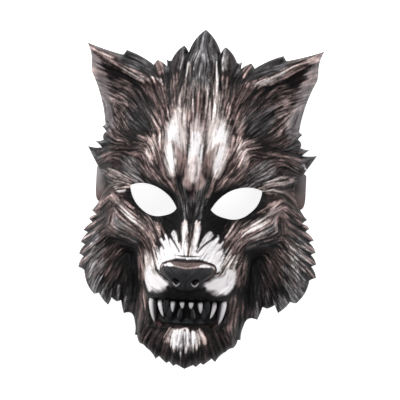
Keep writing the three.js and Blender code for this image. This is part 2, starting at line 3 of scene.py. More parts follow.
import logging
import math
from dataclasses import dataclass, field
from enum import Enum
from itertools import product
from typing import Any, Iterable, Sequence

import bpy
import numpy as np
from mathutils import Matrix, Vector, geometry


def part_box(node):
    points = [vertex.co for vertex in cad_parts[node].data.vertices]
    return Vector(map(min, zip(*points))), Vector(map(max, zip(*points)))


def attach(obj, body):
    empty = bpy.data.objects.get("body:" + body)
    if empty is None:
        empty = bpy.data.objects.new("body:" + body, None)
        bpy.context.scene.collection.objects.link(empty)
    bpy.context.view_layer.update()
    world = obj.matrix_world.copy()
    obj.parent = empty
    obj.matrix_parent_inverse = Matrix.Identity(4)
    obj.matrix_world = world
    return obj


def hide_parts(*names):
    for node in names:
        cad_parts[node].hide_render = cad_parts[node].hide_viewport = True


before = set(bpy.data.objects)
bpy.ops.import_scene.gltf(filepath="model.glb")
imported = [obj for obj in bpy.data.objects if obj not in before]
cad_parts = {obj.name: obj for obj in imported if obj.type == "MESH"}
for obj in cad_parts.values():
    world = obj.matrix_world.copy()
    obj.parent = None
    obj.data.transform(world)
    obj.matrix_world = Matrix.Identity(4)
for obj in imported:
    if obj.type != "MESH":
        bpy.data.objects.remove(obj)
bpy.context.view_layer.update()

MM = 0.001
# A run whose squared length is under this counts as a point.
POINT_RUN = 1e-9
# Points closer than this count as one.
SAME_PLACE = 1e-6
LOG = logging.getLogger("werewolf_mask")

Point = tuple[float, float]
Grid = np.ndarray


class Side(Enum):
    """Which half of the face a mark belongs to, seen by the viewer."""

    LEFT = -1
    BOTH = 0
    RIGHT = 1


class Hue(Enum):
    """Print colours of the mask, as sRGB hex values."""

    BLACK = 0x0a090a
    SOOT = 0x151314
    BARK = 0x272020
    EARTH = 0x463937
    CLAY = 0x665552
    ROSE = 0x86726e
    BLUSH = 0xa8948f
    SAND = 0xbfb2ae
    CREAM = 0xd8ccc7
    WHITE = 0xebe6e7
    SLATE = 0x3a393b
    STEEL = 0x605e60
    ASH = 0x837e7e
    MIST = 0xb0aaac
    WINE = 0x2e1a1c
    MAUVE = 0x847a7b
    TEAL = 0x242729
    GRAPHITE = 0x262629


def linear(colour: int) -> tuple[float, float, float]:
    """Turns an sRGB hex value to linear red, green and blue.

    Args:
        colour: the value, such as 0x332c2b.

    Returns:
        The three linear values, 0 to 1.
    """
    parts = [((colour >> shift) & 255) / 255 for shift in (16, 8, 0)]
    return tuple(c / 12.92 if c <= 0.04045 else ((c + 0.055) / 1.055) ** 2.4 for c in parts)


def smooth(t: Grid) -> Grid:
    """Rises gently from 0 to 1 as t does."""
    q = np.clip(t, 0.0, 1.0)
    return q * q * (3 - 2 * q)


def nearest_on_run(x: Grid, y: Grid, start: Grid, end: Grid) -> tuple[Grid, Grid]:
    """Finds the nearest place of a straight run to each point.

    Args:
        x: the points' places across.
        y: their places up.
        start: where the run starts.
        end: where it ends.

    Returns:
        How far along the run that place is, 0 to 1, and how far the point is from it.
    """
    run = end - start
    along = (x - start[0]) * run[0] + (y - start[1]) * run[1]
    t = np.clip(along / max(run @ run, POINT_RUN), 0, 1)
    return t, np.hypot(x - start[0] - run[0] * t, y - start[1] - run[1] * t)


def tube_quads(rings: int, sides: int, first: int = 0) -> list[list[int]]:
    """Faces between rings of points that follow each other.

    Args:
        rings: how many rings.
        sides: points in each ring.
        first: number of the first point.

    Returns:
        Corner numbers of each face.
    """
    quads = []
    for ring in range(rings - 1):
        for k in range(sides):
            a, b = first + ring * sides + k, first + ring * sides + (k + 1) % sides
            quads.append([a, a + sides, b + sides, b])
    return quads


def curve_through(places: Grid, values: Grid, at: Grid) -> Grid:
    """Reads a smooth curve through rows of values.

    Args:
        places: rising places, one for each value.
        values: the values there; a second axis holds one column for each point of at.
        at: where each curve is read.

    Returns:
        One value for each point of at.
    """
    slopes = np.empty_like(values)
    slopes[1:-1] = (values[2:] - values[:-2]) / (places[2:] - places[:-2])[:, None]
    slopes[0] = (values[1] - values[0]) / (places[1] - places[0])
    slopes[-1] = (values[-1] - values[-2]) / (places[-1] - places[-2])
    q = np.clip(at, places[0], places[-1])
    i = np.clip(np.searchsorted(places, q, side="right") - 1, 0, len(places) - 2)
    span = places[i + 1] - places[i]
    t = (q - places[i]) / span
    one = np.arange(len(at)) if values.shape[1] > 1 else np.zeros(len(at), int)
    return ((2 * t**3 - 3 * t**2 + 1) * values[i, one]
            + (t**3 - 2 * t**2 + t) * span * slopes[i, one]
            + (3 * t**2 - 2 * t**3) * values[i + 1, one]
            + (t**3 - t**2) * span * slopes[i + 1, one])


# Fur locks round one half, from crown to chin. Across and bows: % of half the width. Up: % of half
# the height. Rims: % of the depth. Roll, how far the face rolls down to its rim: % of half the
# width.
LOCK_COLUMNS = (
    "tip_x", "tip_y", "notch_x", "notch_y", "rise", "fall", "tip_rim", "notch_rim", "roll",
)
LOCKS = {
    "crest": (0, 100, 13.4, 86, 0, 2.1, 15, 16, 11),
    "crown": (17.4, 90.2, 27.3, 81.2, 0.5, 1.3, 16, 17, 11),
    "hook": (31.7, 81.9, 30.9, 77.5, -0.9, -0.3, 17, 17, 9),
    "tuft": (39.2, 81.2, 42.2, 78.2, 0.6, 0.2, 16, 16, 8),
    "ear_spike": (65.7, 86.4, 68.5, 83.5, 1.1, -0.3, 14, 14, 6),
    "ear_tip": (99.3, 90, 94.9, 78.4, -0.6, -1.1, 11, 12, 4),
    "ear_side": (94.2, 72.5, 81.1, 42.5, 0.3, -2, 12, 11, 4),
    "ear_base": (84, 40.8, 80.4, 37.9, -0.3, -0.3, 10, 9, 7),
    "temple_a": (83.2, 35.1, 82.6, 33, 0.6, 0.2, 8, 7, 11),
    "temple_b": (90, 32, 84.1, 28.5, -0.3, -0.3, 3, 3, 11),
    "temple_c": (96.4, 29.1, 80, 11.1, -0.7, 0.3, 0, 14, 14),
    "cheek_a": (90.6, -8.9, 86.4, -11.4, -3.3, -0.2, 0, 0, 20),
    "cheek_b": (92.8, -14.1, 89.6, -15.9, 1, -0.2, 0, 0, 22),
    "cheek_c": (97, -20.9, 93.1, -22.2, 0.7, -0.3, 0, 0, 22),
    "cheek_d": (98.9, -28.1, 95, -29.4, 0.8, -0.3, 0, 0, 22),
    "cheek_e": (99.8, -35, 95.8, -36.4, 0.8, -0.3, 0, 0, 22),
    "cheek_f": (100, -42.8, 94.6, -44.6, 0.9, -0.4, 0, 0, 22),
    "jowl_a": (85, -58, 80.2, -57.2, 2, 0.3, 8, 11, 20),
    "jowl_b": (71.1, -63.8, 68.3, -59.2, 0.7, 0.3, 20, 22, 15),
    "jowl_c": (62.7, -61.4, 58.8, -60.4, 0.3, 0.2, 30, 33, 13),
    "jowl_d": (55.3, -67.9, 45, -71.8, 0.2, -3.7, 40, 50, 11),
    "jaw_a": (43.6, -79.5, 41.4, -79.6, -0.7, 0, 58, 60, 9),
    "jaw_b": (38.4, -84.2, 32.6, -86.6, 0.6, -0.7, 63, 66, 9),
    "jaw_c": (24.6, -92.5, 21.4, -90.8, -0.9, 0, 69, 70, 9),
    "chin_a": (15.1, -94.5, 12.9, -93.5, 0.2, 0, 72, 72, 9),
    "chin_b": (9.3, -95.9, 6.9, -94.9, 0, 0, 73, 73, 9),
    "chin_c": (0, -97.3, 0, -97.3, 0, 0, 73, 73, 9),
}

# Bare face over one half: stations across (% of half the width), a row for each height on the face
# (% of half the height), heights in % of the depth.
STATIONS = (0, 9, 18, 28, 39, 52, 67, 83, 100)
SECTIONS = {
    98: (22, 20, 17, 14, 13, 13, 15, 16, 16),
    85: (34, 33, 29, 25, 23, 24, 27, 27, 21),
    72: (45, 44, 41, 38, 36, 35, 30, 26, 20),
    59: (53, 51, 49, 46, 42, 39, 33, 27, 20),
    46: (60, 58, 56, 52, 48, 42, 35, 27, 18),
    33: (65, 63, 62, 59, 53, 46, 37, 25, 12),
    20: (69, 67, 66, 63, 57, 50, 39, 24, 8),
    9: (70, 68, 65, 61, 56, 49, 38, 23, 8),
    0: (69, 66, 58, 53, 50, 45, 37, 24, 8),
    -9: (71, 67, 56, 49, 47, 44, 38, 27, 9),
    -18: (77, 72, 60, 51, 48, 46, 40, 30, 10),
    -27: (86, 82, 71, 58, 47, 44, 40, 32, 11),
    -35: (93, 91, 82, 68, 49, 41, 39, 33, 11),
    -43: (96, 95, 90, 76, 52, 40, 39, 33, 11),
    -52: (94, 93, 90, 78, 56, 41, 39, 31, 9),
    -61: (87, 86, 84, 76, 59, 45, 40, 29, 8),
    -71: (83, 82, 81, 78, 70, 56, 41, 26, 8),
    -80: (85, 84, 82, 80, 75, 65, 46, 27, 10),
    -89: (86, 85, 84, 81, 76, 67, 47, 28, 12),
    -100: (84, 83, 82, 79, 75, 67, 47, 28, 12),
}

# Ridges (positive) and grooves (negative) along straight runs of one half.
# Ends: % of half the width and height. Spread: % of half the width. Rise: % of the depth.
FOLD_COLUMNS = ("from_x", "from_y", "to_x", "to_y", "spread", "rise")
FOLDS = {
    "brow_inner": (8, 5, 27, 11, 5, 5),
    "brow_outer": (27, 11, 52, 15, 6, 5),
    "brow_knot": (0, 14, 0, 10, 5, 3),
    "frown": (5, 4, 12, 17, 3, -2),
    "forehead_middle": (0, 17, 0, 48, 4, 3),
    "forehead_valley": (9, 17, 9, 46, 3, -0.7),
    "forehead_side": (19, 15, 18, 50, 5, 3),
    "temple_valley": (32, 20, 30, 50, 6, -3),
    "crest_ridge": (0, 60, 0, 96, 5, 4),
    "crest_side": (17, 88, 15, 60, 5, 2),
    "ear_front": (39, 68, 56, 73, 5, 6),
    "ear_top": (56, 73, 97, 89, 4, 6),
    "ear_flange": (97, 88, 90, 72, 4, 2),
    "ear_side": (90, 72, 80, 46, 5, 3),
    "cheek_bone": (68, -18, 46, -27, 6, 4),
    "cheek_fold": (46, -27, 38, -37, 6, 6),
    "muzzle_side": (38, -37, 36, -53, 6, 5),
    "cheek_hollow": (55, -34, 50, -58, 8, -5),
    "bridge_side": (13, -12, 22, -28, 4, -3),
    "bridge_middle": (0, -14, 0, -32, 3, -2),
    "upper_lip": (5, -55, 34, -56, 4, 2),
    "lower_lip": (0, -72, 26, -70, 4, 2),
    "chin_tuft": (5, -77, 7, -90, 6, 3),
    "jaw_fur": (32, -64, 38, -84, 5, 3),
}

# Dishes: middle, half sizes, turn in degrees, rise in % of the depth, how gently the border fades.
DISH_COLUMNS = ("x", "y", "half_x", "half_y", "turn", "rise", "fade", "power")
DISHES = {
    "ear_bowl": (67, 60, 20, 15, -35, -13, 0.5, 2),
    "eye_socket": (34, -2, 25, 12, 10, -3, 0.4, 2),
    "mouth": (0, -65, 31, 7.5, 0, -10, 0.25, 4),
}

# Depth of the mould as a share of the nose's highest point.
NOSE_SHARE = 0.9857

# Nose pad: place down it as a share of its height, and half its width there as a share of half the
# widest.
NOSE_OUTLINE = (
    (0, 0.62), (0.03, 0.78), (0.1, 0.92), (0.26, 1), (0.42, 0.95), (0.53, 0.8), (0.62, 0.66),
    (0.74, 0.56), (0.86, 0.48), (0.95, 0.33), (1, 0.12),
)

# Teeth of one half: root and tip in % of half the width and of the crown's height, width in % of
# half the width, how far the tooth bends outward as a share of its length, and how white it is.
TOOTH_COLUMNS = ("root_x", "root_y", "tip_x", "tip_y", "width", "bend", "white")
TEETH = {
    "upper_front": (3.6, -58.4, 3.4, -62.6, 4.6, 0, 0.7),
    "upper_side": (10.6, -58.2, 11.4, -65, 5.2, 0, 0.5),
    "upper_grey": (16.4, -57.8, 17, -66.5, 5.6, 0, -0.05),
    "small_fang": (22.4, -58, 19.2, -67.8, 4.2, 0.05, 0.75),
    "great_fang": (28.6, -56, 25.8, -71.2, 7.4, 0.03, 0.3),
    "lower_front": (5.6, -68.4, 4.6, -62, 5, 0, 0.05),
    "lower_side": (14.2, -68.2, 13.8, -62, 5.4, 0, -0.1),
}

# Free edge of a strap tab: place along the tab and how far it reaches, both as shares.
TAB_EDGE = (
    (0, 0.2), (0.05, 0.6), (0.14, 0.88), (0.32, 1), (0.6, 1), (0.9, 1), (0.97, 0.85), (1, 0.5),
)

# Almond of an eye hole: bend and end of each arc, as shares of half its length and height.
EYE_START = (-1.0, -0.5)
EYE_ARCS = (
    ((-0.75, 0.3), (-0.2, 0.72)),
    ((0.45, 1.15), (1.0, 0.78)),
    ((0.95, -0.1), (0.52, -0.62)),
    ((0.1, -1.2), (-0.45, -0.97)),
    ((-0.85, -0.85), (-1.0, -0.5)),
)


def rows_of(table: dict, columns: Sequence[str]) -> list[dict[str, float]]:
    """Turns a table of bare rows into rows with named columns."""
    return [dict(zip(columns, row)) for row in table.values()]


@dataclass
class MouldForm:
    """The moulded form of the face, in millimetres: its outline, front and back heights."""

    half_width: float
    crown_height: float
    depth: float
    wall: float = 3.2
    edge: float = 2.4
    rim_width: float = 5.5
    eye_spacing: float = 74.0
    eye_length: float = 44.0
    eye_height: float = 29.0
    eye_drop: float = 1.0
    outline_step: float = 1.0
    outline: Grid = field(init=False)
    eye: Grid = field(init=False)

    def __post_init__(self) -> None:
        """Works out the fine outline and the eye hole."""
        self.outline = self._half_outline()
        self.eye = self._eye_hole()

    def _half_outline(self) -> Grid:
        """Follows the locks round one half.

        Returns:
            Rows of x, y, rim height and roll, from crown to chin.
        """
        wide, high, deep = self.half_width / 100, self.crown_height / 100, self.depth / 100
        points: list[Grid] = []
        notch: Grid | None = None
        for lock in rows_of(LOCKS, LOCK_COLUMNS):
            tip, end = (
                np.array([lock[f"{place}_x"] * wide, lock[f"{place}_y"] * high,
                          lock[f"{place}_rim"] * deep, lock["roll"] * wide])
                for place in ("tip", "notch")
            )
            if notch is not None:
                points.append(self._lock_side(notch, tip, lock["rise"] * wide))
            points.append(self._lock_side(tip, end, lock["fall"] * wide))
            notch = end
        return np.vstack([*points, notch[None, :]])

    def _lock_side(self, start: Grid, end: Grid, bow: float) -> Grid:
        """Works out one side of a lock, bowed outward.

        Args:
            start: its first row of x, y, rim height and roll.
            end: its last row.
            bow: how far its middle bows out, mm.

        Returns:
            Its rows without the last.
        """
        run = end[:2] - start[:2]
        length = float(np.hypot(*run))
        if length == 0:
            return np.empty((0, 4))
        steps = max(1, round(length / self.outline_step))
        t = (np.arange(steps) / steps)[:, None]
        side = start + (end - start) * t
        side[:, :2] += 4 * bow * t * (1 - t) * np.array([-run[1], run[0]]) / length
        side[:, 3] = end[3]
        return side

    def _eye_hole(self) -> Grid:
        """Works out the right eye hole.

        Returns:
            Rows of x and y round it.
        """
        half = np.array([self.eye_length / 2, self.eye_height / 2])
        start = np.array(EYE_START)
        points = []
        for bend, end in EYE_ARCS:
            bend, end = np.array(bend), np.array(end)
            length = np.hypot(*((end - start) * half))
            steps = max(3, round(length / self.outline_step))
            t = (np.arange(steps) / steps)[:, None]
            points.append((1 - t) ** 2 * start + 2 * t * (1 - t) * bend + t**2 * end)
            start = end
        return np.vstack(points) * half + np.array([self.eye_spacing / 2, -self.eye_drop])

    @property
    def middle(self) -> float:
        """Middle of the outline above the line of the eyes."""
        return (self.outline[0, 1] + self.outline[-1, 1]) / 2

    def nearest_edge(self, x: Grid, y: Grid) -> tuple[Grid, Grid, Grid]:
        """Finds the nearest place of the outline.

        Args:
            x: distance from the middle line.
            y: height on the face.

        Returns:
            How far it is, its rim height and its roll.
        """
        best = np.full(x.shape, np.inf)
        rim = np.zeros(x.shape)
        roll = np.ones(x.shape)
        for a, b in zip(self.outline[:-1], self.outline[1:]):
            t, gap = nearest_on_run(x, y, a[:2], b[:2])
            nearer = gap < best
            best[nearer] = gap[nearer]
            rim[nearer] = (a[2] + (b[2] - a[2]) * t)[nearer]
            roll[nearer] = b[3]
        return best, rim, roll

    def bare_height(self, x: Grid, y: Grid) -> Grid:
        """Height of the face before its folds and dishes.

        Args:
            x: places across, from the middle line, mm.
            y: places up the face, mm.

        Returns:
            Heights, mm.
        """
        stations = np.array(STATIONS) * self.half_width / 100
        rows = np.array(sorted(SECTIONS)) * self.crown_height / 100
        heights = np.array([SECTIONS[row] for row in sorted(SECTIONS)]) * self.depth / 100
        columns = np.array([curve_through(stations, row[:, None], np.abs(x)) for row in heights])
        return curve_through(rows, columns, y)

    def face_height(self, x: Grid, y: Grid) -> Grid:
        """Height of the modelled face, before it rolls down to the rim.

        Args:
            x: places across, from the middle line, mm.
            y: places up the face, mm.

        Returns:
            Heights, mm.
        """
        wide, high, deep = self.half_width / 100, self.crown_height / 100, self.depth / 100
        x = np.abs(x)
        sum_up = self.bare_height(x, y)
        for fold in rows_of(FOLDS, FOLD_COLUMNS):
            start = np.array([fold["from_x"] * wide, fold["from_y"] * high])
            end = np.array([fold["to_x"] * wide, fold["to_y"] * high])
            q = nearest_on_run(x, y, start, end)[1] / (fold["spread"] * wide)
            sum_up += fold["rise"] * deep * np.exp(-q * q)
        for dish in rows_of(DISHES, DISH_COLUMNS):
            turn = math.radians(dish["turn"])
            dx, dy = x - dish["x"] * wide, y - dish["y"] * high
            u = np.abs(dx * math.cos(turn) + dy * math.sin(turn)) / (dish["half_x"] * wide)
            v = np.abs(dy * math.cos(turn) - dx * math.sin(turn)) / (dish["half_y"] * high)
            radius = (u ** dish["power"] + v ** dish["power"]) ** (1 / dish["power"])
            fade = dish["fade"]
            sum_up += dish["rise"] * deep * (1 - smooth((radius - 1 + fade) / (2 * fade)))
        return sum_up

    def front_height(self, x: Grid, y: Grid) -> Grid:
        """Height of the front surface, rolled down to its rim.

        Args:
            x: places across, from the middle line, mm.
            y: places up the face, mm.

        Returns:
            Heights, mm.
        """
        gap, rim, roll = self.nearest_edge(np.abs(x), y)
        low = rim + self.edge
        q = np.minimum(gap / roll, 1)
        return low + np.maximum(self.face_height(x, y) - low, 0) * np.sqrt(1 - (1 - q) ** 2)

    def back_height(self, x: Grid, y: Grid) -> Grid:
        """Height of the back surface: a wall behind the face, and flat along the rim.

        Args:
            x: places across, from the middle line, mm.
            y: places up the face, mm.

        Returns:
            Heights, mm.
        """
        step = 2.0

        def lowest(px: Grid, py: Grid) -> Grid:
            """Lower of the front surface and the bare face."""
            return np.minimum(self.front_height(px, py), self.bare_height(px, py))

        # The wall is square to the face, so it is thicker upright where the face is steep.
        slope_x = (lowest(x + step, y) - lowest(x - step, y)) / (2 * step)
        slope_y = (lowest(x, y + step) - lowest(x, y - step)) / (2 * step)
        free = lowest(x, y) - self.wall * np.sqrt(1 + slope_x**2 + slope_y**2)
        gap, rim, _ = self.nearest_edge(np.abs(x), y)
        inside = smooth((gap - self.rim_width) / self.rim_width)
        return rim + np.maximum(free - rim, 0) * inside


# Way the fur lies on one half: place in mm, and angle in degrees from across to up.
FLOW = (
    (0, 140, 90), (9, 132, 112), (0, 110, 90), (9, 110, 92), (18, 128, 88), (25, 122, 105),
    (15, 100, 95), (25, 100, 91), (33, 115, 68), (42, 118, 60), (50, 113, 28), (65, 118, 18),
    (85, 126, 24), (60, 107, 25), (75, 116, 30), (42, 98, 62), (50, 95, 50), (35, 85, 66),
    (30, 75, 74), (20, 80, 88), (10, 80, 91), (0, 80, 90), (0, 50, 90), (12, 55, 82), (22, 55, 80),
    (32, 52, 86), (38, 65, 62), (45, 70, 48), (55, 62, 36), (50, 80, 50), (60, 75, 40),
    (65, 90, 38), (75, 85, 25), (75, 98, 18), (80, 108, 25), (88, 100, 20), (86, 75, 75),
    (70, 65, 50), (78, 60, 45), (62, 50, 20), (72, 44, -8), (78, 53, 38), (85, 42, -20),
    (95, 47, 10), (97, 40, 30), (86, 33, -30), (48, 48, 15), (55, 40, -12), (56, 33, 45),
    (65, 28, 36), (75, 22, 20), (65, 14, 18), (80, 17, 25), (40, 45, 62), (42, 35, 70),
    (32, 35, 66), (25, 30, 70), (19, 40, 80), (10, 30, 95), (5, 20, 90), (14, 15, 76), (25, 16, 52),
    (35, 20, 46), (45, 16, 42), (55, 18, 30), (28, 6, 36), (14, 0, 70), (7, 0, 86), (5, -15, 80),
    (20, -20, 25), (33, -24, 62), (40, -29, 55), (46, -20, 38), (55, -15, 35), (65, -9, 36),
    (72, -1, 44), (64, 5, -10), (70, 9, -14), (80, 5, -42), (82, -10, -42), (92, -14, -35),
    (88, -25, -33), (75, -20, 98), (65, -22, 36), (55, -28, 30), (70, -30, 28), (50, -35, 36),
    (42, -46, 60), (38, -60, 76), (31, -45, 62), (35, -50, 64), (26, -40, 60), (15, -36, 66),
    (5, -35, 86), (20, -70, 32), (28, -76, 30), (37, -70, 72), (62, -36, 12), (55, -44, 12),
    (50, -56, 80), (55, -70, 90), (50, -86, 96), (66, -62, -62), (70, -50, -52), (80, -40, -48),
    (90, -45, -42), (99, -42, -35), (101, -54, -38), (86, -60, -50), (95, -64, -55), (90, -78, -60),
    (76, -75, -60), (80, -88, -68), (66, -86, -82), (44, -70, 80), (38, -92, 80), (42, -105, 88),
    (45, -118, 88), (34, -118, -62), (22, -126, -78), (10, -125, -86), (0, -125, 90), (0, -140, 90),
    (12, -138, -86), (22, -135, -80), (29, -137, -80), (0, -106, 4), (15, -106, 10), (25, -104, 48),
    (8, -116, -84), (15, -116, -62), (22, -118, -60),
)


@dataclass(frozen=True)
class Mark:
    """One mark of the print on the face, in millimetres: a curved, tapered stroke.

    Its widths are halves. Soft is how wide its border fades, fray how far strands break the border,
    streak how much they show within it, cover how fully it hides what is below, rise its relief,
    and calm how little the fur's strands run through it.
    """

    hue: Hue
    path: tuple[Point, ...]
    widths: tuple[float, ...]
    soft: float = 1.2
    fray: float = 1.0
    streak: float = 0.3
    cover: float = 1.0
    rise: float = 0.0
    calm: float = 0.0
    side: Side = Side.BOTH


@dataclass(frozen=True)
class Patch:
    """A patch of separate hairs that follow the fur, in millimetres.

    Turn is in degrees, width is half a hair's, and shadow is how dark the painted shadow under
    each hair is: a dark stroke just below the hair, sunk as far as the hair rises.
    """

    hue: Hue
    middle: Point
    half: Point
    turn: float
    count: int
    length: float
    width: float
    cover: float = 0.8
    rise: float = 0.0
    shadow: float = 0.0
    side: Side = Side.BOTH


class PrintCanvas:
    """Square grid over an area of the face that holds the print's colour, relief and calmness."""

    SEED: int = 20
    # How far a fine and a broad strand run either way, mm.
    REACHES: Point = (6.0, 12.0)
    # How often the noise under fine and broad strands is softened.
    BLURS: tuple[int, int] = (1, 3)
    # Shares of fine and broad strands in frayed borders, in light and dark, and in relief.
    FRAY_MIX: Point = (0.7, 0.6)
    SHADE_MIX: Point = (0.95, 0.25)
    RELIEF_MIX: Point = (0.5, 0.7)
    # How far a row of the flow table rules alone, mm squared.
    FLOW_BLEND: float = 4.0
    # Least half width that relief is worked out for, mm, and where and how fast streaks begin.
    SLIMMEST: float = 0.2
    STREAK_FROM: float = 0.25
    STREAK_SPAN: float = 0.5
    STROKE_POINTS: int = 14
    TRAIL_STEPS: int = 5
    # Width along a hair, from root to tip, as shares, and how much hairs differ.
    HAIR_TAPER: tuple[float, ...] = (0.3, 0.8, 1.0, 0.9, 0.6, 0.15)
    HAIR_LENGTHS: Point = (0.6, 1.3)
    HAIR_WIDTHS: Point = (0.7, 1.3)
    HAIR_COVERS: Point = (0.45, 1.0)
    HAIR_SOFT: float = 0.45
    # Painted shadow under a hair: how soft its border is, mm, and how far below the hair it lies,
    # in half widths.
    SHADOW_SOFT: float = 0.8
    SHADOW_DROP: float = 1.5
    # How much darker the gaps between strands are, and from which strand value.
    GAP_DARK: float = 1.5
    GAP_FROM: float = 0.4
    DARKEST: float = 0.002
    PALEST: float = 0.95
    # Keeps a reading within the last cell.
    LAST_CELL: float = 1.001

    def __init__(self, low: Point, high: Point, ground: Hue, pitch: float) -> None:
        """Lays out the grid and combs its strands.

        Args:
            low: left and lower border of the area, mm.
            high: right and upper border, mm.
            ground: colour under all marks.
            pitch: side of one cell, mm.
        """
        self.pitch = pitch
        self.left, self.low = low
        columns = int((high[0] - low[0]) / pitch) + 1
        rows = int((high[1] - low[1]) / pitch) + 1
        self.x, self.y = np.meshgrid(self.left + pitch * np.arange(columns),
                                     self.low + pitch * np.arange(rows))
        self.random = np.random.default_rng(self.SEED)
        self.way = self._flow()
        self.fine, self.broad = (
            self._level(self._comb(self._blur(self.random.random(self.x.shape), blurs), reach))
            for blurs, reach in zip(self.BLURS, self.REACHES)
        )
        self.strand = 0.5 + 0.5 * np.tanh(self._mix(self.FRAY_MIX))
        self.colour = np.tile(np.array(linear(ground.value)), (*self.x.shape, 1))
        self.relief = np.zeros(self.x.shape)
        self.calm = np.zeros(self.x.shape)

    def _mix(self, shares: Point) -> Grid:
        """Fine and broad strands together, in the given shares."""
        return shares[0] * self.fine + shares[1] * self.broad

    def _cell(self, row: Grid, column: Grid) -> tuple[Grid, Grid]:
        """Row and column numbers of the nearest cells of the grid."""
        return (np.clip(row.round().astype(int), 0, self.x.shape[0] - 1),
                np.clip(column.round().astype(int), 0, self.x.shape[1] - 1))

    def _flow(self) -> Grid:
        """Works out the way of the fur from the nearest rows of the flow table.

        Returns:
            A direction for each cell.
        """
        twice = np.zeros((*self.x.shape, 2))
        for x, y, angle in FLOW:
            weight = 1 / ((np.abs(self.x) - x) ** 2 + (self.y - y) ** 2 + self.FLOW_BLEND) ** 2
            twice[..., 0] += weight * math.cos(2 * math.radians(angle))
            twice[..., 1] += weight * math.sin(2 * math.radians(angle))
        angle = 0.5 * np.arctan2(twice[..., 1], twice[..., 0])
        return np.stack([np.cos(angle) * np.where(self.x < 0, -1, 1), np.sin(angle)], axis=-1)

    @staticmethod
    def _blur(grid: Grid, times: int) -> Grid:
        """Softens a grid by a small box.

        Args:
            grid: the grid.
            times: how often.

        Returns:
            The softened grid.
        """
        for _ in range(times):
            for axis in (0, 1):
                grid = (np.roll(grid, 1, axis) + grid + np.roll(grid, -1, axis)) / 3
        return grid

    @staticmethod
    def _level(grid: Grid) -> Grid:
        """Shifts and scales a grid to a mean of 0 and a spread of 1."""
        return (grid - grid.mean()) / grid.std()

    def _comb(self, noise: Grid, reach: float) -> Grid:
        """Draws noise out along the fur into strands.

        Args:
            noise: a value for each cell.
            reach: how far each strand runs either way, mm.

        Returns:
            The mean of the noise along the fur.
        """
        total = noise.copy()
        steps = int(reach / self.pitch)
        rows, columns = np.indices(noise.shape)
        for sign in (1.0, -1.0):
            row, column = rows.astype(float), columns.astype(float)
            last = self.way * sign
            for _ in range(steps):
                here = self.way[self._cell(row, column)]
                here = here * np.where((here * last).sum(-1) < 0, -1.0, 1.0)[..., None]
                column += here[..., 0]
                row += here[..., 1]
                last = here
                total += noise[self._cell(row, column)]
        return total / (2 * steps + 1)

    def _window(self, path: Grid, reach: float) -> tuple[slice, slice]:
        """Finds the cells that a stroke can touch.

        Args:
            path: points along it, mm.
            reach: how far it reaches from them, mm.

        Returns:
            Their rows and columns.
        """
        low = np.floor((path.min(0) - reach - (self.left, self.low)) / self.pitch).astype(int)
        high = np.ceil((path.max(0) + reach - (self.left, self.low)) / self.pitch).astype(int) + 1
        low, high = np.maximum(low, 0), np.maximum(high, 0)
        return slice(low[1], high[1]), slice(low[0], high[0])

    def lay(self, mark: Mark, path: Grid, widths: Grid) -> None:
        """Lays one stroke on the print.

        Args:
            mark: its colour and manner.
            path: points along it, mm.
            widths: half its width at each point, mm.
        """
        window = self._window(path, float(widths.max()) + mark.soft + mark.fray)
        x, y = self.x[window], self.y[window]
        if x.size == 0:
            return
        inside = np.full(x.shape, -np.inf)
        depth = np.full(x.shape, -np.inf)
        for a, b, wide_a, wide_b in zip(path[:-1], path[1:], widths[:-1], widths[1:]):
            t, off = nearest_on_run(x, y, a, b)
            wide = wide_a + (wide_b - wide_a) * t
            inside = np.maximum(inside, wide - off)
            depth = np.maximum(depth, (wide - off) / np.maximum(wide, self.SLIMMEST))
        strand = self.strand[window]
        fill = smooth(0.5 + (inside + mark.fray * (2 * strand - 1)) / mark.soft)
        streaks = smooth((strand - self.STREAK_FROM) / self.STREAK_SPAN)
        fill *= mark.cover * (1 - mark.streak + mark.streak * streaks)
        change = np.array(linear(mark.hue.value)) - self.colour[window]
        self.colour[window] += fill[..., None] * change
        self.relief[window] += mark.rise * np.sqrt(np.clip(depth, 0, 1))
        self.calm[window] = np.maximum(self.calm[window] * (1 - fill), mark.calm * fill)

    def stroke(self, mark: Mark) -> None:
        """Lays a mark on the half or halves that it belongs to.

        Args:
            mark: the mark.
        """
        knots = np.array(mark.path, float)
        t = np.linspace(0, 1, self.STROKE_POINTS)
        places = np.linspace(0, 1, len(knots))
        if len(knots) == 3:
            bend = 2 * knots[1] - (knots[0] + knots[2]) / 2
            path = (((1 - t) ** 2)[:, None] * knots[0] + (2 * t * (1 - t))[:, None] * bend
                    + (t**2)[:, None] * knots[2])
        else:
            path = np.stack([curve_through(places, knots[:, [axis]], t) for axis in (0, 1)], -1)
        widths = np.interp(t, np.linspace(0, 1, len(mark.widths)), mark.widths)
        for side in (-1, 1):
            if mark.side.value in (0, side):
                self.lay(mark, path * (side, 1), widths)

